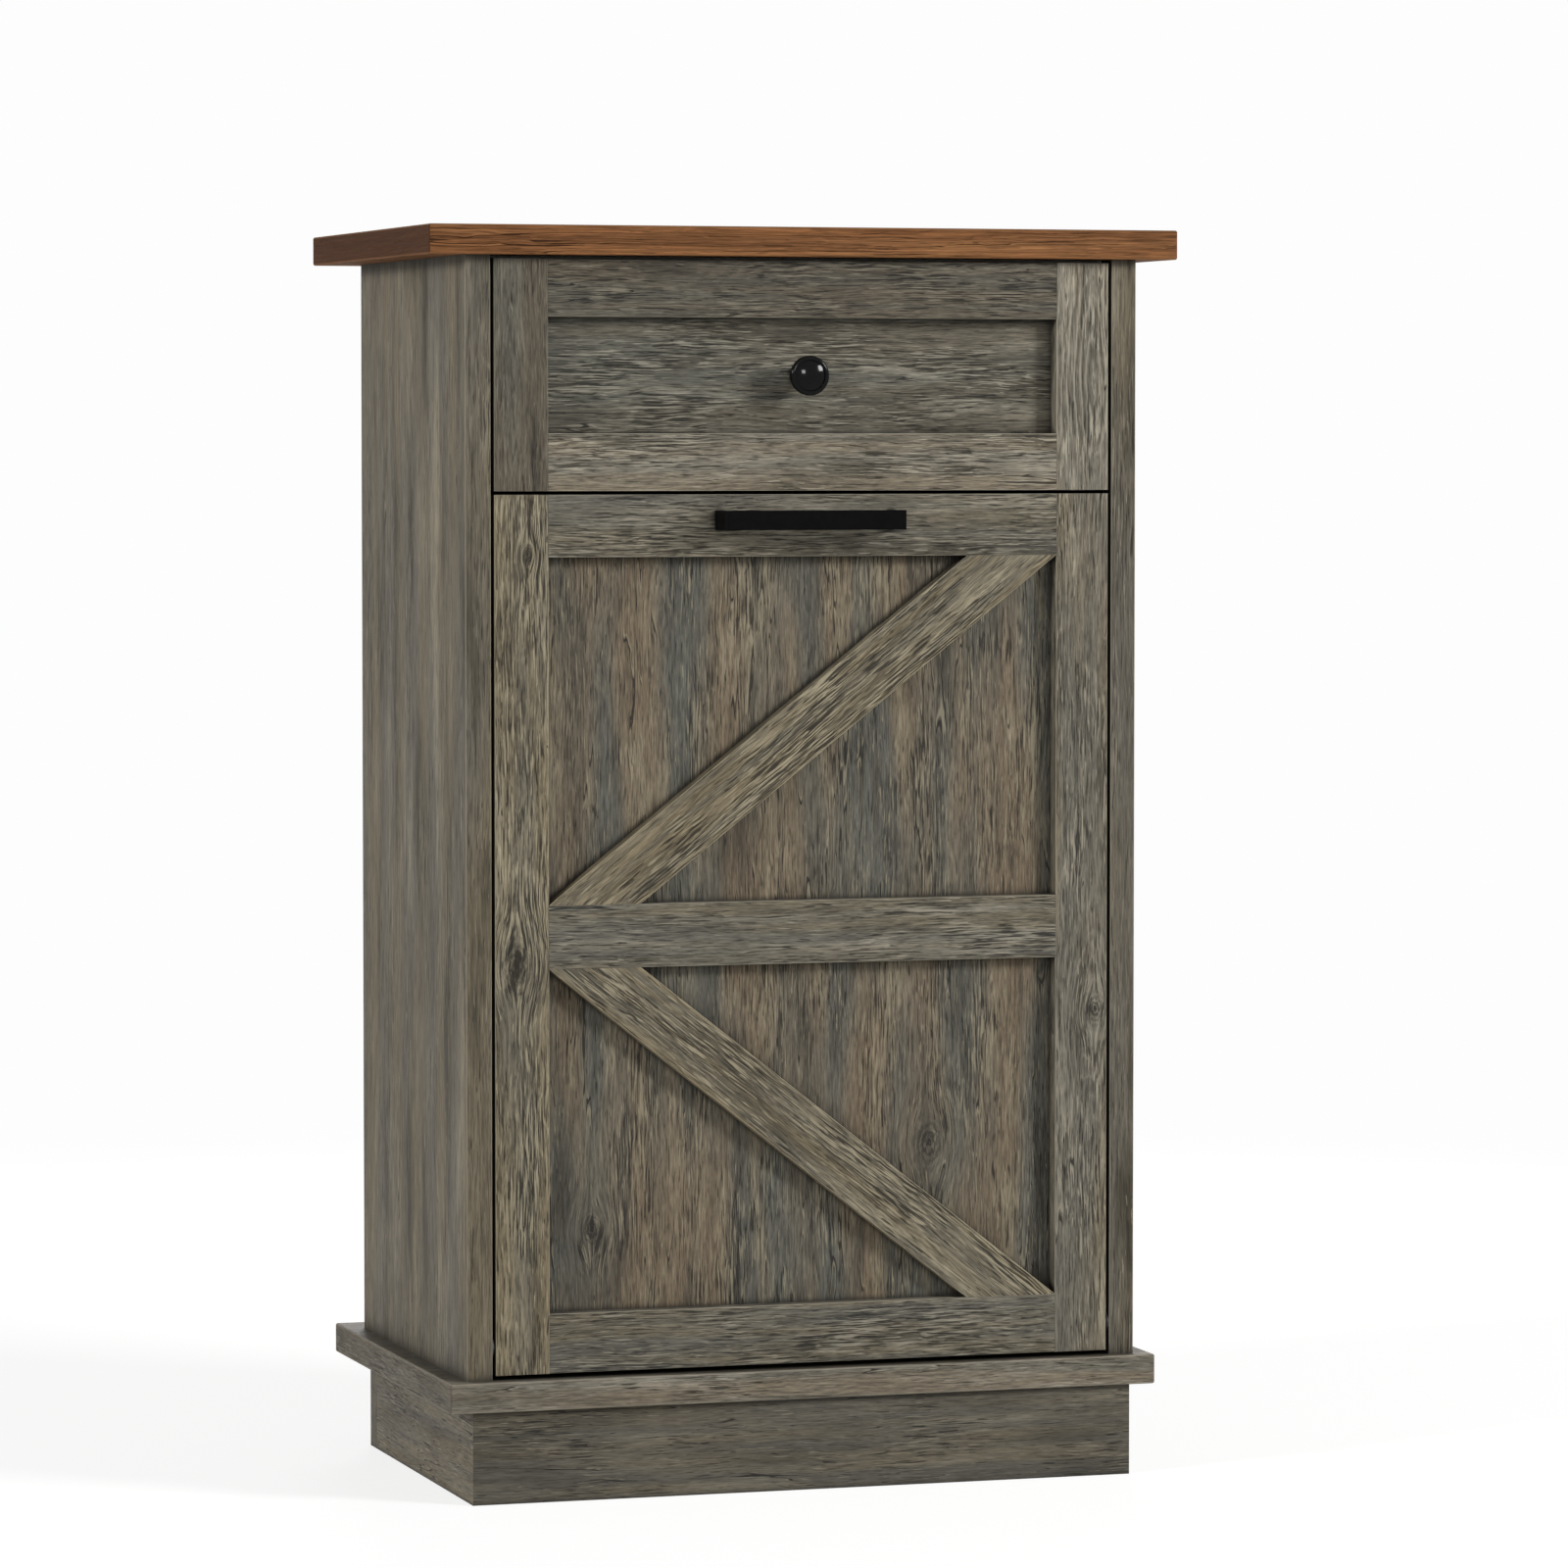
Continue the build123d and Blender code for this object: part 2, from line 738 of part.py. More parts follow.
# Drawer box
for side, sign in SIDES.items():
    with BuildPart() as box_side:
        with BuildSketch(facing_right(sign * box_inner)):
            span(fronts_back, box_back, box_foot, box_top)
        extrude(amount=sign * box_side_thick)
        with BuildSketch(facing_right(sign * box_inner)):
            span(box_front_back - groove_depth, box_back, bottom_foot, bottom_top)
        extrude(amount=sign * groove_depth, mode=Mode.SUBTRACT)
        screw_holes(facing_right(sign * box_inner), box_screw_places, sign * box_side_thick)
        screw_holes(level(box_foot), seat_places(sign), seat_screw_grip)
        low_edges = box_side.edges().filter_by(Axis.Y).group_by(Axis.Z)[0]
        fillet(low_edges, radius=runner_bend)
    save(box_side, f"drawer_{side}_side")

with BuildPart() as drawer_box_front:
    with BuildSketch(facing_front(box_front_back)):
        span(-box_inner, box_inner, box_foot, box_top)
    extrude(amount=box_side_thick)
    with BuildSketch(facing_front(box_front_back)):
        span(-box_inner, box_inner, bottom_foot, bottom_top)
    extrude(amount=groove_depth, mode=Mode.SUBTRACT)
    screw_holes(facing_front(box_front_back), frame_screw_places, box_side_thick)
    rods(
        facing_front(box_front_back),
        [(0, knob_level)],
        bolt_on_radius + fit_play,
        box_side_thick,
        Mode.SUBTRACT,
    )
    front_screws = [place for place in box_screw_places if place[0] < box_front_back]
    for sign in SIDES.values():
        screw_holes(facing_right(sign * box_inner), front_screws, -sign * screw_grip)
save(drawer_box_front, "drawer_box_front")

with BuildPart() as drawer_back:
    with BuildSketch(facing_front(box_back)):
        span(-box_inner, box_inner, bottom_top, box_top)
    extrude(amount=box_side_thick)
    back_screws = [place for place in box_screw_places if place[0] > box_front_back]
    for sign in SIDES.values():
        screw_holes(facing_right(sign * box_inner), back_screws, -sign * screw_grip)
save(drawer_back, "drawer_back")

with BuildPart() as drawer_bottom:
    half_bottom = box_inner + groove_depth - groove_play
    with BuildSketch(level(bottom_foot)):
        span(-half_bottom, half_bottom, box_front_back - groove_depth + groove_play, box_back)
    extrude(amount=box_bottom_thick)
save(drawer_bottom, "drawer_bottom")

with BuildPart() as drawer_screws:
    for sign in SIDES.values():
        screws(facing_right(sign * box_outer), box_screw_places, box_side_thick + screw_grip, way=sign)
    frame_screw_length = box_side_thick + backing_thick + frame_screw_grip
    screws(facing_front(box_front_back), frame_screw_places, -frame_screw_length, way=-1)
save(drawer_screws, "drawer_screws")

# Knob, turned about its own axis: foot, stem, flared head, rim, groove and crown
knob_plane = Plane(origin=(0, recess, knob_level), x_dir=(0, -1, 0), z_dir=(1, 0, 0))
knob_face = knob_reach - knob_crown
knob_round_start = knob_face - knob_rim_round
knob_flare_end = knob_round_start - knob_rim_band
knob_flare = knob_radius - knob_stem_radius
knob_land_radius = knob_radius - knob_rim_round - knob_rim_land

with BuildPart() as drawer_knob:
    with BuildSketch(knob_plane):
        with BuildLine():
            Polyline(
                (0, 0),
                (0, knob_foot_radius),
                (knob_foot_thick, knob_foot_radius),
                (knob_foot_thick, knob_stem_radius),
                (knob_flare_end - knob_flare, knob_stem_radius),
            )
            TangentArc(
                (knob_flare_end - knob_flare, knob_stem_radius),
                (knob_flare_end, knob_radius),
                tangent=(1, 0),
            )
            Line((knob_flare_end, knob_radius), (knob_round_start, knob_radius))
            TangentArc(
                (knob_round_start, knob_radius),
                (knob_face, knob_radius - knob_rim_round),
                tangent=(1, 0),
            )
            Polyline(
                (knob_face, knob_radius - knob_rim_round),
                (knob_face, knob_land_radius),
                (knob_face - knob_groove, knob_land_radius),
            )
            TangentArc(
                (knob_reach, 0),
                (knob_face - knob_groove, knob_land_radius),
                tangent=(0, 1),
            )
            Line((knob_reach, 0), (0, 0))
        make_face()
    revolve(axis=Axis((0, recess, knob_level), (0, -1, 0)))
    rods(
        facing_front(recess),
        [(0, knob_level)],
        bolt_on_radius + fit_play,
        bolt_on_grip + fit_play,
        Mode.SUBTRACT,
    )
save(drawer_knob, "drawer_knob")

with BuildPart() as knob_screw:
    knob_screw_length = box_side_thick + backing_thick + bolt_on_grip
    rods(facing_front(box_front_back), [(0, knob_level)], bolt_on_radius, knob_screw_length)
    rods(facing_front(box_front_back), [(0, knob_level)], bolt_on_head_radius, -bolt_on_head_thick)
save(knob_screw, "knob_screw")

# Tilting door: a backing board with stiles, rails and two braces on it
with BuildPart() as door_panel:
    with BuildSketch(facing_front(fronts_back)):
        span(-half_front, half_front, door_foot, door_top)
    extrude(amount=backing_thick)
    screw_holes(facing_front(fronts_back), door_screw_places, backing_thick)
    rods(facing_front(recess), door_screw_places, screw_head_radius, -screw_head_thick, Mode.SUBTRACT)
    rods(
        facing_front(fronts_back),
        handle_places,
        bolt_on_radius + fit_play,
        backing_thick,
        Mode.SUBTRACT,
    )
save(door_panel, "door_panel")

for side, sign in SIDES.items():
    with BuildPart() as stile:
        with BuildSketch(facing_front(recess)):
            span(*sorted((sign * stile_inner, sign * half_front)), door_foot, door_top)
        extrude(amount=frame_thick)
        fillet(long_front_edges(stile, Axis.Z), radius=edge_ease)
        rods(
            facing_right(sign * half_front),
            [(pivot_y, pivot_z)],
            pivot_radius + fit_play,
            -sign * pivot_sink,
            Mode.SUBTRACT,
        )
    save(stile, f"door_{side}_stile")

door_rails = {
    "door_bottom_rail": (door_foot, lower_recess_foot),
    "door_mid_rail": (mid_rail_foot, upper_recess_foot),
    "door_top_rail": (upper_recess_top, door_top),
}
for name, (foot, top) in door_rails.items():
    with BuildPart() as rail:
        with BuildSketch(facing_front(recess)):
            span(-stile_inner, stile_inner, foot, top)
        extrude(amount=frame_thick)
        fillet(long_front_edges(rail, Axis.X), radius=edge_ease)
        if foot < handle_level < top:
            rods(
                facing_front(recess),
                handle_places,
                bolt_on_radius + fit_play,
                frame_thick,
                Mode.SUBTRACT,
            )
    save(rail, name)

# Braces: each runs corner to corner of its recess, between ends cut level
braces = {
    "door_upper_brace": (upper_recess_foot, upper_recess_top, 1),
    "door_lower_brace": (lower_recess_foot, mid_rail_foot, -1),
}
for name, (foot, top, lean) in braces.items():
    width = 2 * stile_inner
    height = top - foot
    slope = math.atan2(height, width) + math.asin(brace_width / math.hypot(width, height))
    level_cut = brace_width / math.sin(slope)
    with BuildPart() as brace:
        with BuildSketch(facing_front(recess)):
            with BuildLine():
                Polyline(
                    (-lean * stile_inner, foot),
                    (-lean * (stile_inner - level_cut), foot),
                    (lean * stile_inner, top),
                    (lean * (stile_inner - level_cut), top),
                    close=True,
                )
            make_face()
        extrude(amount=frame_thick)
        face_edges = brace.faces().sort_by(Axis.Y)[0].edges()
        fillet(face_edges.sort_by(SortBy.LENGTH)[-2:], radius=edge_ease)
    save(brace, name)

# Handle: a flat bar on two legs
half_handle = handle_spacing / 2 + handle_leg / 2
half_grip = handle_spacing / 2 - handle_leg / 2
with BuildPart() as door_handle:
    with BuildSketch(level(handle_level - handle_height / 2)):
        with BuildLine():
            Polyline(
                (-half_handle, front),
                (-half_handle, front - handle_reach),
                (half_handle, front - handle_reach),
                (half_handle, front),
                (half_grip, front),
                (half_grip, front - handle_reach + handle_bar_thick),
                (-half_grip, front - handle_reach + handle_bar_thick),
                (-half_grip, front),
                close=True,
            )
        make_face()
    extrude(amount=handle_height)
    chamfer(door_handle.faces().sort_by(Axis.Y)[0].edges(), length=handle_chamfer)
    rods(
        facing_front(front),
        handle_places,
        bolt_on_radius + fit_play,
        bolt_on_grip + fit_play,
        Mode.SUBTRACT,
    )
save(door_handle, "door_handle")

with BuildPart() as handle_screws:
    rods(facing_front(fronts_back), handle_places, bolt_on_radius, frame_thick + backing_thick + bolt_on_grip)
    rods(facing_front(fronts_back), handle_places, bolt_on_head_radius, -bolt_on_head_thick)
save(handle_screws, "handle_screws")

# Bin holder: two sides whose tops slope down to the rear, a shelf and a rear rail
for side, sign in SIDES.items():
    with BuildPart() as holder_side:
        with BuildSketch(facing_right(sign * holder_inner)) as outline:
            with BuildLine():
                Polyline(
                    (fronts_back, holder_foot),
                    (holder_back, holder_foot),
                    (holder_back, holder_rear_top),
                    (fronts_back + holder_level_length, holder_front_top),
                    (fronts_back, holder_front_top),
                    close=True,
                )
            make_face()
            high_corners = outline.vertices().sort_by(Axis.Y)[-3:]
            fillet(high_corners.sort_by(Axis.X)[1:], radius=holder_round)
        extrude(amount=sign * holder_thick)
        screw_holes(facing_right(sign * holder_inner), holder_side_screw_places, sign * holder_thick)
        screw_holes(facing_right(sign * holder_outer), stay_screw_places, -sign * holder_thick)
        own_screws = [place for place in door_screw_places if place[0] * sign > 0]
        screw_holes(facing_front(fronts_back), own_screws, -screw_grip)
    save(holder_side, f"holder_{side}_side")

with BuildPart() as holder_shelf:
    with BuildSketch(level(holder_foot)):
        span(-holder_inner, holder_inner, fronts_back, holder_back)
    extrude(amount=holder_thick)
    for sign in SIDES.values():
        screw_holes(facing_right(sign * holder_inner), shelf_screw_places, -sign * screw_grip)
save(holder_shelf, "holder_shelf")

with BuildPart() as holder_rear_rail:
    with BuildSketch(facing_front(holder_back)):
        span(-holder_inner, holder_inner, rail_foot, rail_top)
    extrude(amount=holder_thick)
    for sign in SIDES.values():
        screw_holes(facing_right(sign * holder_inner), rail_screw_places, -sign * screw_grip)
save(holder_rear_rail, "holder_rear_rail")

with BuildPart() as holder_screws:
    for sign in SIDES.values():
        length = holder_thick + screw_grip
        screws(facing_right(sign * holder_outer), holder_side_screw_places, length, way=sign)
        screws(inside(sign, stay_face), stay_screw_places, stay_steel + holder_thick, way=sign)
    rods(facing_front(recess), door_screw_places, screw_head_radius - fit_play, -screw_head_thick)
    rods(facing_front(recess), door_screw_places, screw_radius, -(backing_thick + screw_grip))
save(holder_screws, "holder_screws")

# Pivot pins in the stiles, and their flanged bushings in the side panels
with BuildPart() as pivot_pins:
    for sign in SIDES.values():
        pin_length = pivot_sink + front_gap + pivot_engagement
        pin_start = facing_right(sign * (half_front - pivot_sink))
        rods(pin_start, [(pivot_y, pivot_z)], pivot_radius, sign * pin_length)
save(pivot_pins, "pivot_pins")

with BuildPart() as pivot_bushings:
    for sign in SIDES.values():
        flange_radius = bushing_radius + bushing_flange_wall
        flange_face = inside(sign, bushing_flange_thick)
        whole_length = sign * (bushing_flange_thick + bushing_length)
        rods(flange_face, [(pivot_y, pivot_z)], flange_radius, sign * bushing_flange_thick)
        rods(flange_face, [(pivot_y, pivot_z)], bushing_radius, whole_length)
        rods(flange_face, [(pivot_y, pivot_z)], pivot_radius + pivot_play, whole_length, Mode.SUBTRACT)
save(pivot_bushings, "pivot_bushings")

# Quadrant stays on the holder's sides, slotted for the guide pins of the side panels
with BuildPart() as quadrant_stays:
    for sign in SIDES.values():
        plate = stay_outline(
            inside(sign, holder_gap),
            stay_band / 2,
            slot_start - stay_tail_angle,
            stay_pin_angle + stay_tail_angle,
        )
        slot = stay_outline(inside(sign, holder_gap), slot_radius, slot_start, stay_pin_angle)
        extrude(plate, amount=sign * stay_steel)
        extrude(slot, amount=sign * stay_steel, mode=Mode.SUBTRACT)
        screw_holes(inside(sign, holder_gap), stay_screw_places, sign * stay_steel)
save(quadrant_stays, "quadrant_stays")

with BuildPart() as stay_guide_pins:
    for sign in SIDES.values():
        pin_foot = inside(sign, -stay_pin_sink + fit_play)
        collar_length = stay_face - stay_collar_gap
        pin_length = stay_pin_sink - fit_play + holder_gap - stay_collar_gap
        rods(pin_foot, [guide_pin_place], stay_pin_radius, -sign * pin_length)
        rods(inside(sign, 0), [guide_pin_place], stay_collar_radius, -sign * collar_length)
save(stay_guide_pins, "stay_guide_pins")

# Magnetic catch under the divider, with ears to screw it on, and its strike on the door
catch_front = fronts_back + strike_thick + catch_gap
catch_middle = catch_front + catch_depth / 2
strike_level = divider_foot - catch_height / 2
half_catch_ears = catch_width / 2 + catch_ear

with BuildPart() as magnetic_catch:
    with BuildSketch(level(divider_foot)):
        span(-catch_width / 2, catch_width / 2, catch_front, catch_front + catch_depth)
    extrude(amount=-catch_height)
    fillet(magnetic_catch.edges().filter_by(Axis.Z), radius=edge_ease)
    with BuildSketch(level(divider_foot)):
        with Locations((0, catch_middle + catch_ear_offset)):
            SlotOverall(2 * half_catch_ears, catch_ear)
    extrude(amount=-catch_ear_thick)
save(magnetic_catch, "magnetic_catch")

with BuildPart() as strike_plate:
    with BuildSketch(facing_front(fronts_back)):
        with Locations((0, strike_level)):
            RectangleRounded(catch_width + 2 * strike_margin, strike_height, strike_round)
    extrude(amount=-strike_thick)
save(strike_plate, "strike_plate")
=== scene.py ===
"""Looks of a tilt-out trash cabinet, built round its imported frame.

Printed oak boards, metal and plastic fittings, screws with a cross recess, the pale floor, the light
and the camera. Everything is in metres in the shared frame: X to the right, the front faces -Y and
Z is up. Patterns are in millimetres.
"""

import json
import logging
import math
from dataclasses import dataclass
from enum import Enum

import bmesh
import bpy
from mathutils import Euler, Matrix, Vector


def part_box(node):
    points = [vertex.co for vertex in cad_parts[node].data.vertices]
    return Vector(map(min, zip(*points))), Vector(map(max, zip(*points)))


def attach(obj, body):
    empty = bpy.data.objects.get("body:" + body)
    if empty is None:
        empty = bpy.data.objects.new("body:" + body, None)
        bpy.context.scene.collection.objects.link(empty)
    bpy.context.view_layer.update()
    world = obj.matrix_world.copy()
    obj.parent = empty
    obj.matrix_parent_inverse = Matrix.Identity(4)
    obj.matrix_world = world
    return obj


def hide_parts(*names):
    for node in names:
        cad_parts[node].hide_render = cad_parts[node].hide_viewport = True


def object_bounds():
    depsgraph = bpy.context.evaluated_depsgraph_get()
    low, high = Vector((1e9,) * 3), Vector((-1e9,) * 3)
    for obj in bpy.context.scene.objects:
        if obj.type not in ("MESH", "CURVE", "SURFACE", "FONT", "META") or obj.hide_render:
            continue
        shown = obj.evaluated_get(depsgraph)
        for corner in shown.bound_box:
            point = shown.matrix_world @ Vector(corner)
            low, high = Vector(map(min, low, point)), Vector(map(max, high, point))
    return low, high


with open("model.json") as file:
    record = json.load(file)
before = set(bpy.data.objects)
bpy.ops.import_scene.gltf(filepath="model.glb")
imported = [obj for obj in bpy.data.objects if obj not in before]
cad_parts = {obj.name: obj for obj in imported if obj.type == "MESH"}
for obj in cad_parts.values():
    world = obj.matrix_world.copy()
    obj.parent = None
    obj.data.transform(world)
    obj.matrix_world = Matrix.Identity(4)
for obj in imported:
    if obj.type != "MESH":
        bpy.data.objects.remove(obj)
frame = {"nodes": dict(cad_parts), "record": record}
CAD_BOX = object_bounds()

logging.basicConfig(level=logging.INFO, format="%(name)s: %(message)s")
log = logging.getLogger("cabinet")

MM = 0.001
PER_METRE = 1000.0
Socket = bpy.types.NodeSocket
Tree = bpy.types.NodeTree
Material = bpy.types.Material
Shape = bmesh.types.BMesh
Corners = list[bmesh.types.BMVert]
Pair = tuple[float, float]
Triple = tuple[float, float, float]
Four = tuple[float, float, float, float]


# Helpers that every finish and piece uses


def linear(code: str) -> Four:
    """Turn an sRGB hex colour into the linear colour that a shader takes.

    Args:
        code: The colour as #rrggbb.

    Returns:
        Red, green, blue and an alpha of 1, all linear.
    """
    shares = [int(code[i : i + 2], 16) / 255 for i in (1, 3, 5)]
    red, green, blue = (s / 12.92 if s <= 0.04045 else ((s + 0.055) / 1.055) ** 2.4 for s in shares)
    return (red, green, blue, 1.0)


def add_node(
    tree: Tree,
    kind: str,
    inputs: dict[int | str, object] | None = None,
    output: int | str = 0,
    **settings: object,
) -> Socket | None:
    """Add a shader node with its settings and links.

    Args:
        tree: The material's nodes.
        kind: The node's type, without the words that all shader nodes start with.
        inputs: For each input, by name or place, a value or another node's output.
        output: The output that the caller wants.
        settings: The node's own properties.

    Returns:
        The output asked for, or None from the node that ends the tree.
    """
    node = tree.nodes.new(f"ShaderNode{kind}")
    for name, value in settings.items():
        setattr(node, name, value)
    for key, value in (inputs or {}).items():
        if isinstance(value, Socket):
            tree.links.new(value, node.inputs[key])
        else:
            node.inputs[key].default_value = value
    return node.outputs[output] if node.outputs else None


def new_material(name: str) -> Material:
    """Make an empty node material.

    Args:
        name: The real material's name.

    Returns:
        The material, with no nodes.
    """
    material = bpy.data.materials.new(name)
    material.use_nodes = True
    material.node_tree.nodes.clear()
    return material


def mottle(
    tree: Tree, place: Socket, size: float | Triple, detail: float = 2.0, roughness: float = 0.5
) -> Socket:
    """A cloudy pattern whose spots have a real size.

    Args:
        tree: The material's nodes.
        place: The place on the surface, in millimetres.
        size: The spots' size in millimetres, one for all axes or one for each.
        detail: How many finer layers lie on the spots.
        roughness: How strong the finer layers are.

    Returns:
        The pattern, about 0.5 on average.
    """
    sizes = size if isinstance(size, tuple) else (size,) * 3
    shares = {0: place, 1: tuple(1 / s for s in sizes)}
    scaled = add_node(tree, "VectorMath", shares, operation="MULTIPLY")
    inputs = {"Vector": scaled, "Scale": 1.0, "Detail": detail, "Roughness": roughness}
    return add_node(tree, "TexNoise", inputs)


def streaks(tree: Tree, place: Socket, size: Pair, detail: float = 2.0, roughness: float = 0.5) -> Socket:
    """A mottle drawn out along the grain.

    Args:
        tree: The material's nodes.
        place: The place on the board, in millimetres.
        size: The streaks' length and width, in millimetres.
        detail: How many finer layers lie on the streaks.
        roughness: How strong the finer layers are.

    Returns:
        The pattern, about 0.5 on average.
    """
    length, width = size
    return mottle(tree, place, (length, width, width), detail, roughness)


def stain(
    tree: Tree,
    colour: Socket | Four,
    ink: str,
    pattern: Socket,
    strength: float = 1.0,
    limits: Pair = (0.0, 1.0),
) -> Socket:
    """Lay an ink over a colour where a pattern's value passes from one limit to the other.

    Args:
        tree: The material's nodes.
        colour: The colour below.
        ink: The ink, as an sRGB hex colour.
        pattern: The pattern's value.
        strength: How much of the colour below the full ink hides.
        limits: The values at which the ink starts and is full.

    Returns:
        The stained colour.
    """
    start, full = limits
    eased = {0: pattern, 1: start, 2: full, 3: 0.0, 4: strength}
    share = add_node(tree, "MapRange", eased, interpolation_type="SMOOTHSTEP")
    return add_node(tree, "Mix", {0: share, 6: colour, 7: linear(ink)}, 2, data_type="RGBA")


def stripe(tree: Tree, pattern: Socket, edges: Four) -> Socket:
    """Pick out a stripe of a pattern's values.

    Args:
        tree: The material's nodes.
        pattern: The pattern's value.
        edges: Where the stripe starts, is full, starts to fade and ends.

    Returns:
        1 on the stripe and 0 beside it.
    """
    start, full, fade, end = edges
    rise = add_node(tree, "MapRange", {0: pattern, 1: start, 2: full}, interpolation_type="SMOOTHSTEP")
    fall = add_node(tree, "MapRange", {0: pattern, 1: fade, 2: end}, interpolation_type="SMOOTHSTEP")
    return add_node(tree, "Math", {0: rise, 1: fall}, operation="SUBTRACT", use_clamp=True)


def dress(node: str, material: Material) -> None:
    """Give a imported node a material, on its object's own slots.

    Args:
        node: The node's name.
        material: The finished material.
    """
    thing = frame["nodes"][node]
    if not thing.material_slots:
        thing.data.materials.append(None)
    for slot in thing.material_slots:
        slot.link = "OBJECT"
        slot.material = material
    log.info("%s: %s", node, material.name)


# Printed oak


@dataclass(frozen=True)
class Palette:
    """The inks of one oak decor, as sRGB colours."""

    fissure: str
    shade: str
    cool: str
    warm: str
    light: str


class Decor(Enum):
    """The oak decors of the cabinet: a reclaimed grey oak in several tones, and the brown of the top."""

    GREY = Palette("#1d1a14", "#3b372d", "#646056", "#6d6452", "#9c9583")
    SIDE = Palette("#1d1a14", "#3d382c", "#625d53", "#6b6250", "#948c7a")
    DUSK = Palette("#171510", "#302d24", "#504d44", "#585043", "#807a6a")
    GREEN_GREY = Palette("#181710", "#35322a", "#59584f", "#5f594c", "#989384")
    BLUE_GREY = Palette("#1b1a15", "#3a372f", "#605d54", "#696252", "#979181")
    BANDED = Palette("#1b1812", "#38332b", "#58574f", "#6c5f4d", "#938a74")
    SANDY = Palette("#1f1b12", "#423b2d", "#686254", "#756a54", "#a59b82")
    PALE = Palette("#231f16", "#454033", "#726d61", "#786e5d", "#aca593")
    LEDGE = Palette("#1e1b14", "#3f3a2f", "#6a665b", "#726858", "#a0998a")
    PLINTH = Palette("#161410", "#322f27", "#55524a", "#5f584a", "#817a6a")
    TOP = Palette("#2a190d", "#432816", "#6c492e", "#7c5334", "#9d7049")


class Grain(Enum):
    """The way that a board's grain runs, as the turn that brings it onto the pattern's X."""

    ACROSS = (0.0, 0.0, 0.0)
    UP = (0.0, math.pi / 2, 0.0)
    DEEP = (0.0, 0.0, -math.pi / 2)


class Axis(Enum):
    """An axis of the shared frame, by its place in a vector."""

    X = 0
    Y = 1
    Z = 2


@dataclass(frozen=True)
class Knot:
    """A knot of the decor, by its place on the front and its radius, in millimetres.

    The grain is pulled to its middle, and its dark heart holds close rings. Its reaches and its
    raggedness are in radii, and the spots that make it ragged are in millimetres.
    """

    x: float
    z: float
    radius: float
    slimness: float = 0.6
    pull: float = 0.85
    pull_reach: float = 5.0
    heart_reach: Pair = (0.2, 2.8)
    ragged_spot: Triple = (4.0, 1.5, 1.5)
    raggedness: float = 0.9
    ring_rate: float = 11.0
    ring_swing: float = 0.25

    def draw(self, tree: Tree, turn: Euler) -> tuple[Socket, Socket]:
        """Draw the knot.

        Args:
            tree: The material's nodes.
            turn: The turn that brings the board's grain onto the pattern's X.

        Returns:
            How far the grain is pulled, as a vector, and how near the knot's heart the place is.
        """
        spot = add_node(tree, "TexCoord", output="Object")
        centre = (-self.x * MM, 0.0, -self.z * MM)
        shifted = add_node(tree, "VectorMath", {0: spot, 1: centre}, operation="ADD")
        turned = {"Vector": shifted, "Rotation": turn, "Scale": (PER_METRE,) * 3}
        around = add_node(tree, "Mapping", turned)
        shape = (self.slimness / self.radius, 0.0, 1.0 / self.radius)
        near = add_node(tree, "VectorMath", {0: around, 1: shape}, operation="MULTIPLY")
        distance = add_node(tree, "VectorMath", {0: near}, "Value", operation="LENGTH")
        fading = {0: distance, 1: 0.0, 2: self.pull_reach, 3: self.pull, 4: 0.0}
        pull = add_node(tree, "MapRange", fading, interpolation_type="SMOOTHSTEP")
        across = add_node(tree, "VectorMath", {0: around, 1: (0.0, 0.0, 1.0)}, operation="MULTIPLY")
        pulled = add_node(tree, "VectorMath", {0: across, "Scale": pull}, operation="SCALE")
        full, end = self.heart_reach
        near_heart = add_node(tree, "MapRange", {0: distance, 1: full, 2: end, 3: 1.0, 4: 0.0})
        ragged = mottle(tree, around, self.ragged_spot, detail=1.0)
        uneven = {0: ragged, 1: self.raggedness, 2: distance}
        bent = add_node(tree, "Math", uneven, operation="MULTIPLY_ADD")
        phase = add_node(tree, "Math", {0: bent, 1: self.ring_rate}, operation="MULTIPLY")
        wave = add_node(tree, "Math", {0: phase}, operation="COSINE")
        swing = {0: wave, 1: self.ring_swing, 2: 1 - self.ring_swing}
        ringed = add_node(tree, "Math", swing, operation="MULTIPLY_ADD")
        return pulled, add_node(tree, "Math", {0: near_heart, 1: ringed}, operation="MULTIPLY")


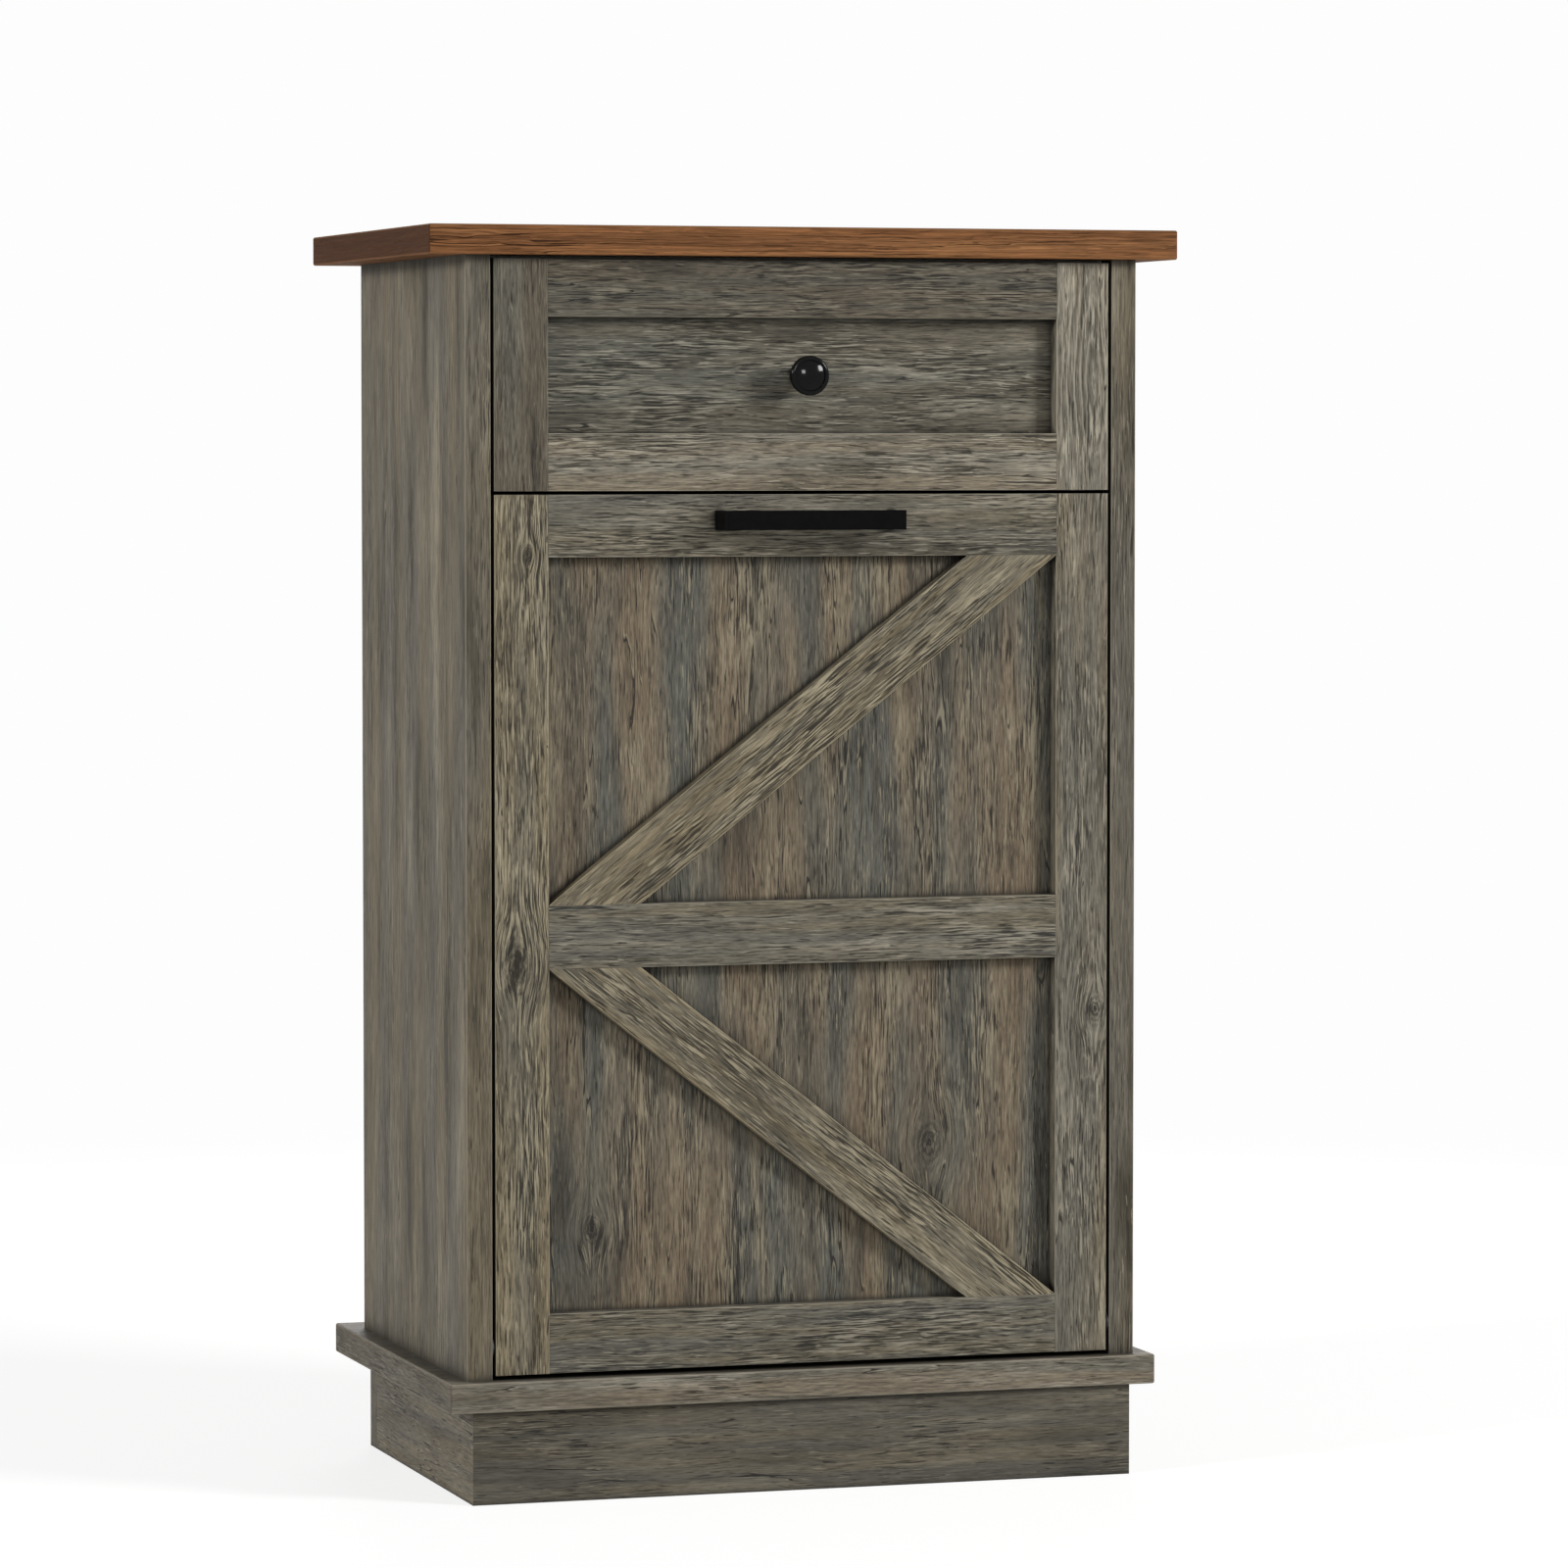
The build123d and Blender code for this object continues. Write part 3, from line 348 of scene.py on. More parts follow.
@dataclass(frozen=True)
class Cracks:
    """Long cracks, as broken wavy lines along the grain with a raised lit rim on one side.

    Size is the length and width that the lines are apart, share is how much of the board has them,
    thick is the line's share of the width and patch is the length of the patches they gather in.
    The line and the rim are in half widths of the line from its middle.
    """

    size: Pair
    share: float
    thick: float
    patch: float
    line: Four = (-1.0, -0.3, 0.3, 1.0)
    rim: Four = (1.0, 1.6, 1.8, 3.2)
    break_scale: Pair = (0.8, 1.5)
    break_weight: float = 0.6
    patch_slimness: float = 0.25
    closed_level: float = 0.96
    opening: float = 0.24
    open_edge: float = 0.08

    def draw(self, tree: Tree, place: Socket) -> tuple[Socket, Socket]:
        """Draw the cracks.

        Args:
            tree: The material's nodes.
            place: The place on the board, in millimetres.

        Returns:
            How deep the crack is, up to 1, and how far the place lies on its rim.
        """
        length, width = self.size
        waves = streaks(tree, place, self.size, detail=1.2)
        half = self.thick / 2
        line = stripe(tree, waves, tuple(0.5 + edge * half for edge in self.line))
        rim = stripe(tree, waves, tuple(0.5 + edge * half for edge in self.rim))
        break_length, break_width = self.break_scale
        breaks = streaks(tree, place, (break_length * length, break_width * width), detail=1.0)
        patch_size = (self.patch, self.patch_slimness * self.patch)
        patches = streaks(tree, place, patch_size, detail=3.0, roughness=0.6)
        both = {0: breaks, 1: self.break_weight, 2: patches}
        level = add_node(tree, "Math", both, operation="MULTIPLY_ADD")
        least = self.closed_level - self.opening * self.share
        open_share = add_node(tree, "MapRange", {0: level, 1: least, 2: least + self.open_edge})
        depth = add_node(tree, "Math", {0: line, 1: open_share}, operation="MULTIPLY")
        lip = add_node(tree, "Math", {0: rim, 1: open_share}, operation="MULTIPLY")
        return depth, lip


@dataclass(frozen=True)
class Slits:
    """Short cracks, as dark strokes along the grain with lit slivers between them.

    Size is the length and width that the strokes are apart, share is how many of them are open and
    patch is the length of the patches they gather in.
    """

    size: Pair
    share: float
    patch: float
    patch_slimness: float = 0.3
    patch_limits: Pair = (0.35, 0.65)
    patch_opening: Pair = (-0.09, 0.06)
    opening: float = 0.08
    slit_limits: Pair = (0.41, 0.35)
    sliver_limits: Pair = (0.6, 0.66)

    def draw(self, tree: Tree, place: Socket) -> tuple[Socket, Socket]:
        """Draw the slits.

        Args:
            tree: The material's nodes.
            place: The place on the board, in millimetres.

        Returns:
            How deep a slit is, up to 1, and how far the place lies on a lit sliver.
        """
        strokes = streaks(tree, place, self.size, detail=1.6, roughness=0.6)
        patch_size = (self.patch, self.patch_slimness * self.patch)
        patches = streaks(tree, place, patch_size, detail=3.0, roughness=0.6)
        thin, thick = self.patch_limits
        least, most = self.patch_opening
        gather = {0: patches, 1: thin, 2: thick, 3: least, 4: most}
        opening = add_node(tree, "MapRange", gather)
        wider = {0: opening, 1: self.opening * (self.share - 0.5)}
        opening = add_node(tree, "Math", wider, operation="ADD")
        low = add_node(tree, "Math", {0: strokes, 1: opening}, operation="SUBTRACT")
        high = add_node(tree, "Math", {0: strokes, 1: opening}, operation="ADD")
        rim, bed = self.slit_limits
        foot, crest = self.sliver_limits
        depth = add_node(tree, "MapRange", {0: low, 1: rim, 2: bed})
        sliver = add_node(tree, "MapRange", {0: high, 1: foot, 2: crest})
        return depth, sliver


@dataclass(frozen=True)
class Rings:
    """Growth rings round a heart that leaves the face at a slant, so that they close into arches.

    The heart is a place in millimetres, slope is its angle to the face in radians and width is how
    far the rings are apart. The rings are plain within the core's share of their reach and fade to
    a rest at its end. Late wood and step are stripes of one ring, as shares of its width.
    """

    heart: Triple = (0.0, -260.0, 450.0)
    slope: float = 0.05
    width: float = 3.6
    strength: float = 0.3
    reach: float = 80.0
    core: float = 0.4
    rest: float = 0.25
    drift_size: Pair = (60.0, 7.0)
    drift: float = 7.0
    late_wood: Four = (0.25, 0.8, 0.8, 0.99)
    step: Four = (0.0, 0.1, 0.1, 0.3)

    def draw(self, tree: Tree, place: Socket, turn: Euler, shift: Vector) -> tuple[Socket, Socket]:
        """Draw the rings.

        Args:
            tree: The material's nodes.
            place: The place on the board, in millimetres.
            turn: The turn that brings the board's grain onto the pattern's X.
            shift: How far the board's stretch of the decor lies from the pattern's start.

        Returns:
            How far the place lies on a ring's dark late wood, and on the lit step beside it.
        """
        middle = Vector(self.heart)
        middle.rotate(turn)
        settled = {0: place, 1: -(shift + middle)}
        about_heart = add_node(tree, "VectorMath", settled, operation="ADD")
        tilt = {"Vector": about_heart, "Rotation": (0.0, 0.0, self.slope)}
        tilted = add_node(tree, "Mapping", tilt)
        flat = add_node(tree, "VectorMath", {0: tilted, 1: (0.0, 1.0, 1.0)}, operation="MULTIPLY")
        radius = add_node(tree, "VectorMath", {0: flat}, "Value", operation="LENGTH")
        drifting = {0: streaks(tree, place, self.drift_size), 1: self.drift, 2: radius}
        uneven = add_node(tree, "Math", drifting, operation="MULTIPLY_ADD")
        counted = add_node(tree, "Math", {0: uneven, 1: 1 / self.width}, operation="MULTIPLY")
        share = add_node(tree, "Math", {0: counted}, operation="FRACT")
        distance = add_node(tree, "VectorMath", {0: about_heart}, "Value", operation="LENGTH")
        near = {0: distance, 1: self.core * self.reach, 2: self.reach, 3: 1.0, 4: self.rest}
        fading = add_node(tree, "MapRange", near, interpolation_type="SMOOTHSTEP")
        dark = {0: stripe(tree, share, self.late_wood), 1: fading}
        lit = {0: stripe(tree, share, self.step), 1: fading}
        late_wood = add_node(tree, "Math", dark, operation="MULTIPLY")
        return late_wood, add_node(tree, "Math", lit, operation="MULTIPLY")


@dataclass(frozen=True)
class Figure:
    """The patterns of one board, each as a value over its surface."""

    bands: Socket
    tones: Socket
    late_wood: Socket
    ring_step: Socket
    grain: Socket
    fibres: Socket
    check_depth: Socket
    check_rim: Socket
    split_depth: Socket
    split_rim: Socket
    hearts: Socket | None


@dataclass(frozen=True)
class Inking:
    """How strongly each ink is laid, and the pattern's values at which it starts and is full."""

    warm_limits: Pair = (0.36, 0.64)
    light_tone: float = 0.55
    light_limits: Pair = (0.5, 0.74)
    dark_tone: float = 0.7
    dark_limits: Pair = (0.5, 0.28)
    grain_swing: float = 1.7
    fibre_swing: float = 2.3
    ring_step: float = 0.7
    check_rim: float = 0.75
    split_rim: float = 0.6
    check: float = 0.85
    split: float = 0.9
    knot: float = 0.95
    end_limits: Pair = (0.7, 0.75)
    # Painted highlight on eased edges: where it starts, is full, starts to fade and ends, by how squarely
    # the surface faces.
    edge_highlight_band: Four = (0.05, 0.3, 0.9, 0.998)
    # Painted shade in inner corners, from ambient occlusion: its strength, and the occlusion values where
    # it starts and is full.
    corner_shade: float = 0.85
    corner_shade_limits: Pair = (0.95, 0.35)


@dataclass(frozen=True)
class Embossing:
    """How the press plate shapes the skin.

    Its depth is in millimetres, and heights are shares of it. Roughness goes with the two levels.
    """

    depth: float = 0.4
    strength: float = 0.8
    fibre_height: float = 0.5
    crack_depth: float = 1.0
    rim_height: float = 0.4
    levels: Pair = (0.4, 1.1)
    roughness: Pair = (0.72, 0.58)


@dataclass(frozen=True)
class OakLaminate:
    """Reclaimed oak, printed on paper and pressed into the board's melamine with an embossed grain.

    It gives the eye long uneven streaks of several tones, growth rings that close into arches, short
    dark cracks with a lit rim, and a matt skin that is rougher in the cracks. Lengths are in
    millimetres along the grain and widths across it. A bend is a length, a width and a reach.
    """

    node: str
    decor: Decor
    grain: Grain
    seed: int
    lean: float = 0.0
    rings: Rings = Rings()
    knots: tuple[Knot, ...] = ()
    band_length: float = 300.0
    band_width: float = 22.0
    band_strength: float = 1.0
    tone_length: float = 150.0
    tone_width: float = 17.0
    grain_size: Pair = (60.0, 1.5)
    fibre_size: Pair = (12.0, 0.9)
    line_strength: float = 1.0
    stretch: float = 1.0
    check_size: Pair = (25.0, 0.95)
    check_share: float = 0.5
    check_patch: float = 90.0
    split_size: Pair = (110.0, 6.0)
    split_share: float = 0.3
    split_thick: float = 0.03
    split_patch: float = 150.0
    ends_apart: bool = False
    end_edge: Pair = (0.68, 0.74)
    face: Axis = Axis.Y
    edge_axis: Axis = Axis.Y
    edge_shade: float = 0.0
    # How strong the painted highlight on eased edges is.
    edge_highlight: float = 0.95
    # How far the painted shade in inner corners reaches, in millimetres.
    dirt_reach: float = 6.0
    ior: float = 1.5
    specular: float = 0.22
    long_bend: Triple = (140.0, 32.0, 6.5)
    short_bend: Triple = (24.0, 7.0, 1.9)
    stretch_step: Triple = (731.0, 173.0, 97.0)
    inking: Inking = Inking()
    embossing: Embossing = Embossing()

    def turn(self) -> Euler:
        """The turn that brings the board's grain onto the pattern's X."""
        x, y, z = self.grain.value
        return Euler((x, y + self.lean, z), "XYZ")

    def shift(self) -> Vector:
        """How far the board's stretch of the decor lies from the pattern's start."""
        return Vector(self.stretch_step) * self.seed

    def facing(self, tree: Tree, axis: Axis) -> Socket:
        """How squarely the surface faces along an axis, either way.

        Args:
            tree: The material's nodes.
            axis: The axis.

        Returns:
            1 where it faces straight along the axis and 0 where it lies along it.
        """
        normal = add_node(tree, "TexCoord", output="Normal")
        side = add_node(tree, "SeparateXYZ", {0: normal}, axis.value)
        return add_node(tree, "Math", {0: side}, operation="ABSOLUTE")

    def place(self, tree: Tree) -> Socket:
        """Find the place on the board, along the grain on X and across it on Y and Z.

        Args:
            tree: The material's nodes.

        Returns:
            The place in millimetres.
        """
        spot = add_node(tree, "TexCoord", output="Object")
        turned = {"Vector": spot, "Location": self.shift(), "Rotation": self.turn()}
        turned |= {"Scale": (PER_METRE,) * 3}
        own = add_node(tree, "Mapping", turned)
        if not self.ends_apart:
            return own
        ends = add_node(tree, "Mapping", {**turned, "Rotation": Grain.DEEP.value})
        start, full = self.end_edge
        at_end = add_node(tree, "MapRange", {0: self.facing(tree, Axis.X), 1: start, 2: full})
        return add_node(tree, "Mix", {0: at_end, 4: own, 5: ends}, 1, data_type="VECTOR")

    def bend_round_knots(self, tree: Tree, place: Socket) -> tuple[Socket, Socket | None]:
        """Bend the grain round the board's knots.

        Args:
            tree: The material's nodes.
            place: The place on the board, in millimetres.

        Returns:
            The bent place, and how near a knot's heart the place is, if there are knots.
        """
        hearts = None
        for knot in self.knots:
            pulled, heart = knot.draw(tree, self.turn())
            place = add_node(tree, "VectorMath", {0: place, 1: pulled}, operation="SUBTRACT")
            if hearts is not None:
                heart = add_node(tree, "Math", {0: hearts, 1: heart}, operation="MAXIMUM")
            hearts = heart
        return place, hearts

    def wander(self, tree: Tree, place: Socket, bend: Triple) -> Socket:
        """Let the grain wander sideways.

        Args:
            tree: The material's nodes.
            place: The place on the board.
            bend: The length and width of one bend, and how far the grain wanders.

        Returns:
            The moved place.
        """
        length, width, reach = bend
        shares = {0: place, 1: (1 / length, 1 / width, 1 / width)}
        scaled = add_node(tree, "VectorMath", shares, operation="MULTIPLY")
        colour = add_node(tree, "TexNoise", {"Vector": scaled, "Scale": 1.0, "Detail": 2.0}, "Color")
        centred = add_node(tree, "VectorMath", {0: colour, 1: (0.5, 0.5, 0.5)}, operation="SUBTRACT")
        moved = add_node(tree, "VectorMath", {0: centred, "Scale": reach}, operation="SCALE")
        return add_node(tree, "VectorMath", {0: place, 1: moved}, operation="ADD")

    def figure(self, tree: Tree) -> Figure:
        """Draw the board's patterns.

        Args:
            tree: The material's nodes.

        Returns:
            The patterns.
        """
        place, hearts = self.bend_round_knots(tree, self.place(tree))
        place = self.wander(tree, place, self.long_bend)
        late_wood, ring_step = self.rings.draw(tree, place, self.turn(), self.shift())
        place = self.wander(tree, place, self.short_bend)
        drawn_out = {0: place, 1: (1 / self.stretch, 1.0, 1.0)}
        place = add_node(tree, "VectorMath", drawn_out, operation="MULTIPLY")
        bands = streaks(tree, place, (self.band_length, self.band_width), detail=1.5)
        tones = streaks(tree, place, (self.tone_length, self.tone_width), detail=3.5, roughness=0.6)
        grain = streaks(tree, place, self.grain_size, detail=3.0, roughness=0.65)
        # Real fibres are under 0.1 mm: they are drawn 0.9 mm wide, so that they show.
        fibres = streaks(tree, place, self.fibre_size, detail=2.0, roughness=0.6)
        checks = Slits(self.check_size, self.check_share, self.check_patch)
        splits = Cracks(self.split_size, self.split_share, self.split_thick, self.split_patch)
        slits, cracks = checks.draw(tree, place), splits.draw(tree, place)
        return Figure(bands, tones, late_wood, ring_step, grain, fibres, *slits, *cracks, hearts)

    def paint(self, tree: Tree, figure: Figure) -> Socket:
        """Lay the decor's inks.

        Args:
            tree: The material's nodes.
            figure: The board's patterns.

        Returns:
            The colour.
        """
        inks, laid = self.decor.value, self.inking
        light, dark = laid.light_tone * self.band_strength, laid.dark_tone * self.band_strength
        colour = stain(tree, linear(inks.cool), inks.warm, figure.bands, limits=laid.warm_limits)
        colour = stain(tree, colour, inks.light, figure.tones, light, laid.light_limits)
        colour = stain(tree, colour, inks.shade, figure.tones, dark, laid.dark_limits)
        colour = stain(tree, colour, inks.shade, figure.late_wood, self.rings.strength)
        swing, fine_swing = laid.grain_swing * self.line_strength, laid.fibre_swing * self.line_strength
        coarse = {0: figure.grain, 1: swing, 2: 1 - swing / 2}
        fine = {0: figure.fibres, 1: fine_swing, 2: -fine_swing / 2}
        lines = add_node(tree, "Math", coarse, operation="MULTIPLY_ADD")
        fine_lines = add_node(tree, "Math", fine, operation="MULTIPLY_ADD")
        depth = add_node(tree, "Math", {0: lines, 1: fine_lines}, operation="ADD")
        colour = add_node(tree, "VectorMath", {0: colour, "Scale": depth}, operation="SCALE")
        colour = stain(tree, colour, inks.light, figure.ring_step, laid.ring_step * self.rings.strength)
        # Painted highlight: the slivers beside the slits and the rims beside the cracks are inked
        # lighter, as the lit side of the embossed relief.
        colour = stain(tree, colour, inks.light, figure.check_rim, laid.check_rim)
        colour = stain(tree, colour, inks.light, figure.split_rim, laid.split_rim)
        colour = stain(tree, colour, inks.fissure, figure.check_depth, laid.check)
        colour = stain(tree, colour, inks.fissure, figure.split_depth, laid.split)
        if figure.hearts is not None:
            colour = stain(tree, colour, inks.fissure, figure.hearts, laid.knot)
        at_end = self.facing(tree, self.edge_axis)
        colour = stain(tree, colour, inks.shade, at_end, self.edge_shade, laid.end_limits)
        # Painted highlight: where the normal turns round an eased edge, the colour is lightened as if the
        # edge caught the light.
        lit_edge = stripe(tree, self.facing(tree, self.face), laid.edge_highlight_band)
        colour = stain(tree, colour, inks.light, lit_edge, self.edge_highlight)
        # Painted shade: ambient occlusion darkens the colour where boards meet, so inner corners end in a
        # dark line.
        reach = {"Distance": self.dirt_reach * MM}
        corner = add_node(tree, "AmbientOcclusion", reach, "AO", samples=8)
        return stain(tree, colour, inks.fissure, corner, laid.corner_shade, laid.corner_shade_limits)

    def emboss(self, tree: Tree, figure: Figure) -> tuple[Socket, Socket]:
        """Press the figure into the skin.

        Args:
            tree: The material's nodes.
            figure: The board's patterns.

        Returns:
            The skin's normal and its roughness.
        """
        plate = self.embossing
        depths = {0: figure.check_depth, 1: figure.split_depth}
        rims = {0: figure.check_rim, 1: figure.split_rim}
        deep = add_node(tree, "Math", depths, operation="MAXIMUM")
        lip = add_node(tree, "Math", rims, operation="MAXIMUM")
        fibrous = {0: figure.fibres, 1: plate.fibre_height, 2: figure.grain}
        level = add_node(tree, "Math", fibrous, operation="MULTIPLY_ADD")
        sinking = {0: deep, 1: -plate.crack_depth, 2: level}
        sunk = add_node(tree, "Math", sinking, operation="MULTIPLY_ADD")
        raising = {0: lip, 1: plate.rim_height, 2: sunk}
        raised = add_node(tree, "Math", raising, operation="MULTIPLY_ADD")
        pressed = {"Height": raised, "Strength": plate.strength, "Distance": plate.depth * MM}
        low, high = plate.levels
        rough, smooth = plate.roughness
        roughness = add_node(tree, "MapRange", {0: level, 1: low, 2: high, 3: rough, 4: smooth})
        return add_node(tree, "Bump", pressed), roughness

    def material(self) -> Material:
        """Build the board's own stretch of the decor.

        Returns:
            The finished material.
        """
        material = new_material(f"oak_laminate_{self.node}")
        tree = material.node_tree
        figure = self.figure(tree)
        normal, roughness = self.emboss(tree, figure)
        look = {"Base Color": self.paint(tree, figure), "Roughness": roughness, "Normal": normal}
        look |= {"IOR": self.ior, "Specular IOR Level": self.specular}
        add_node(tree, "OutputMaterial", {"Surface": add_node(tree, "BsdfPrincipled", look)})
        return material


# Plain finishes of the fittings and the hidden boards


@dataclass(frozen=True)
class PlainFinish:
    """A finish of one base colour that a fine pattern breaks up.

    It gives the eye the slight clouds, the surface's own grit and the gloss of the real material.
    Spots, grit, its height and the reach of light under the skin are in millimetres.
    """

    name: str
    colour: str
    second: str
    roughness: float
    spot: float | Triple
    grit: float | Triple
    grit_height: float
    cloud: float = 0.6
    cloud_limits: Pair = (0.32, 0.68)
    gloss_limits: Pair = (0.3, 0.7)
    roughness_swing: float = 0.06
    grit_strength: float = 0.6
    metallic: float = 0.0
    ior: float = 1.5
    specular: float = 0.5
    subsurface: float = 0.0
    subsurface_reach: float = 1.5

    def material(self) -> Material:
        """Build the finish.

        Returns:
            The finished material.
        """
        material = new_material(self.name)
        tree = material.node_tree
        spot = add_node(tree, "TexCoord", output="Object")
        place = add_node(tree, "VectorMath", {0: spot, "Scale": PER_METRE}, operation="SCALE")
        clouds = mottle(tree, place, self.spot, detail=3.0, roughness=0.55)
        grit = mottle(tree, place, self.grit, detail=2.0, roughness=0.55)
        colour = stain(tree, linear(self.colour), self.second, clouds, self.cloud, self.cloud_limits)
        low, high = self.roughness - self.roughness_swing, self.roughness + self.roughness_swing
        start, end = self.gloss_limits
        roughness = add_node(tree, "MapRange", {0: clouds, 1: start, 2: end, 3: low, 4: high})
        skin = {"Height": grit, "Strength": self.grit_strength, "Distance": self.grit_height * MM}
        look = {
            "Base Color": colour,
            "Roughness": roughness,
            "Normal": add_node(tree, "Bump", skin),
            "Metallic": self.metallic,
            "Subsurface Weight": self.subsurface,
            "Subsurface Scale": self.subsurface_reach * MM,
            "Specular IOR Level": self.specular,
        }
        if not self.metallic:
            look["IOR"] = self.ior
        add_node(tree, "OutputMaterial", {"Surface": add_node(tree, "BsdfPrincipled", look)})
        return material


# Melamine-faced chipboard: a satin warm grey paper with a faint print, pearled by its press plate.
MELAMINE = PlainFinish(
    "melamine_board", "#b9b4a9", "#aaa498", roughness=0.42, spot=60.0, grit=1.1, grit_height=0.03
)
# Hardboard: pressed brown wood fibre, with darker flecks and a felted skin.
HARDBOARD = PlainFinish(
    "pressed_hardboard", "#86705a", "#6f5a46", roughness=0.68, spot=3.4, grit=0.9, grit_height=0.06,
    cloud=0.9,
)
# Pine, sawn: yellow wood with wide soft rings and a rough cut.
PINE = PlainFinish(
    "sawn_pine", "#c9a473", "#a97f4e", roughness=0.7, spot=(6.0, 30.0, 2.4), grit=(0.8, 6.0, 0.8),
    grit_height=0.12, cloud=0.8,
)
# Epoxy-coated steel: a smooth grey-white stoved coat with a faint orange peel.
EPOXY_STEEL = PlainFinish(
    "epoxy_coated_steel", "#d6d5d0", "#cfcec8", roughness=0.3, spot=25.0, grit=2.2, grit_height=0.03
)
# Zinc-plated steel: a bright bluish metal whose plating clouds a little.
ZINC_PLATE = PlainFinish(
    "bright_zinc_plate", "#c4c8cc", "#aeb0a6", roughness=0.28, spot=9.0, grit=0.6, grit_height=0.008,
    cloud=0.7, metallic=1.0,
)
# Zinc, die cast: duller than plate, with the fine skin of the mould.
CAST_ZINC = PlainFinish(
    "die_cast_zinc", "#b3b5b6", "#9b9c9c", roughness=0.42, spot=3.0, grit=0.5, grit_height=0.02,
    cloud=0.7, metallic=1.0,
)
# Nylon, moulded: milky and slightly see-through at its edges, with a soft gloss.
NYLON = PlainFinish(
    "moulded_nylon", "#e4e1d6", "#dcd8cb", roughness=0.38, spot=12.0, grit=0.8, grit_height=0.01,
    ior=1.53, subsurface=0.3,
)
# Nylon, moulded and coloured black through: it hides in the gap beside the door.
BLACK_NYLON = PlainFinish(
    "black_moulded_nylon", "#1c1b1a", "#232221", roughness=0.42, spot=12.0, grit=0.8,
    grit_height=0.01, ior=1.53,
)
# ABS, moulded: the catch's ivory case with a spark-eroded skin.
ABS = PlainFinish(
    "moulded_abs", "#d3cfc2", "#cbc6b8", roughness=0.45, spot=15.0, grit=0.5, grit_height=0.02,
    ior=1.54,
)
# Black enamel on zinc: a deep gloss that mirrors the lamps as small hard spots.
BLACK_ENAMEL = PlainFinish(
    "black_enamel", "#050505", "#080808", roughness=0.1, spot=6.0, grit=1.6, grit_height=0.006,
    roughness_swing=0.02, specular=0.12,
)
# Powder coat on steel: a matt black with a fine pebbled skin, drawn at 0.8 mm so that it shows.
POWDER_COAT = PlainFinish(
    "black_powder_coat", "#070708", "#0b0b0c", roughness=0.45, spot=5.0, grit=0.8,
    grit_height=0.035, specular=0.03,
)


class Finishes:
    """The plain finishes, each built once."""

    made: dict[str, Material] = {}

    @classmethod
    def get(cls, finish: PlainFinish) -> Material:
        """Give the material of a plain finish, and build it the first time.

        Args:
            finish: The finish.

        Returns:
            Its material.
        """
        if finish.name not in cls.made:
            cls.made[finish.name] = finish.material()
        return cls.made[finish.name]


# Screws


@dataclass(frozen=True)
class ScrewPlace:
    """Where a screw stands: the crown of its head, the way the head looks, and its sizes in metres."""

    crown: Vector
    outward: Vector
    head_radius: float
    shank_radius: float
    length: float


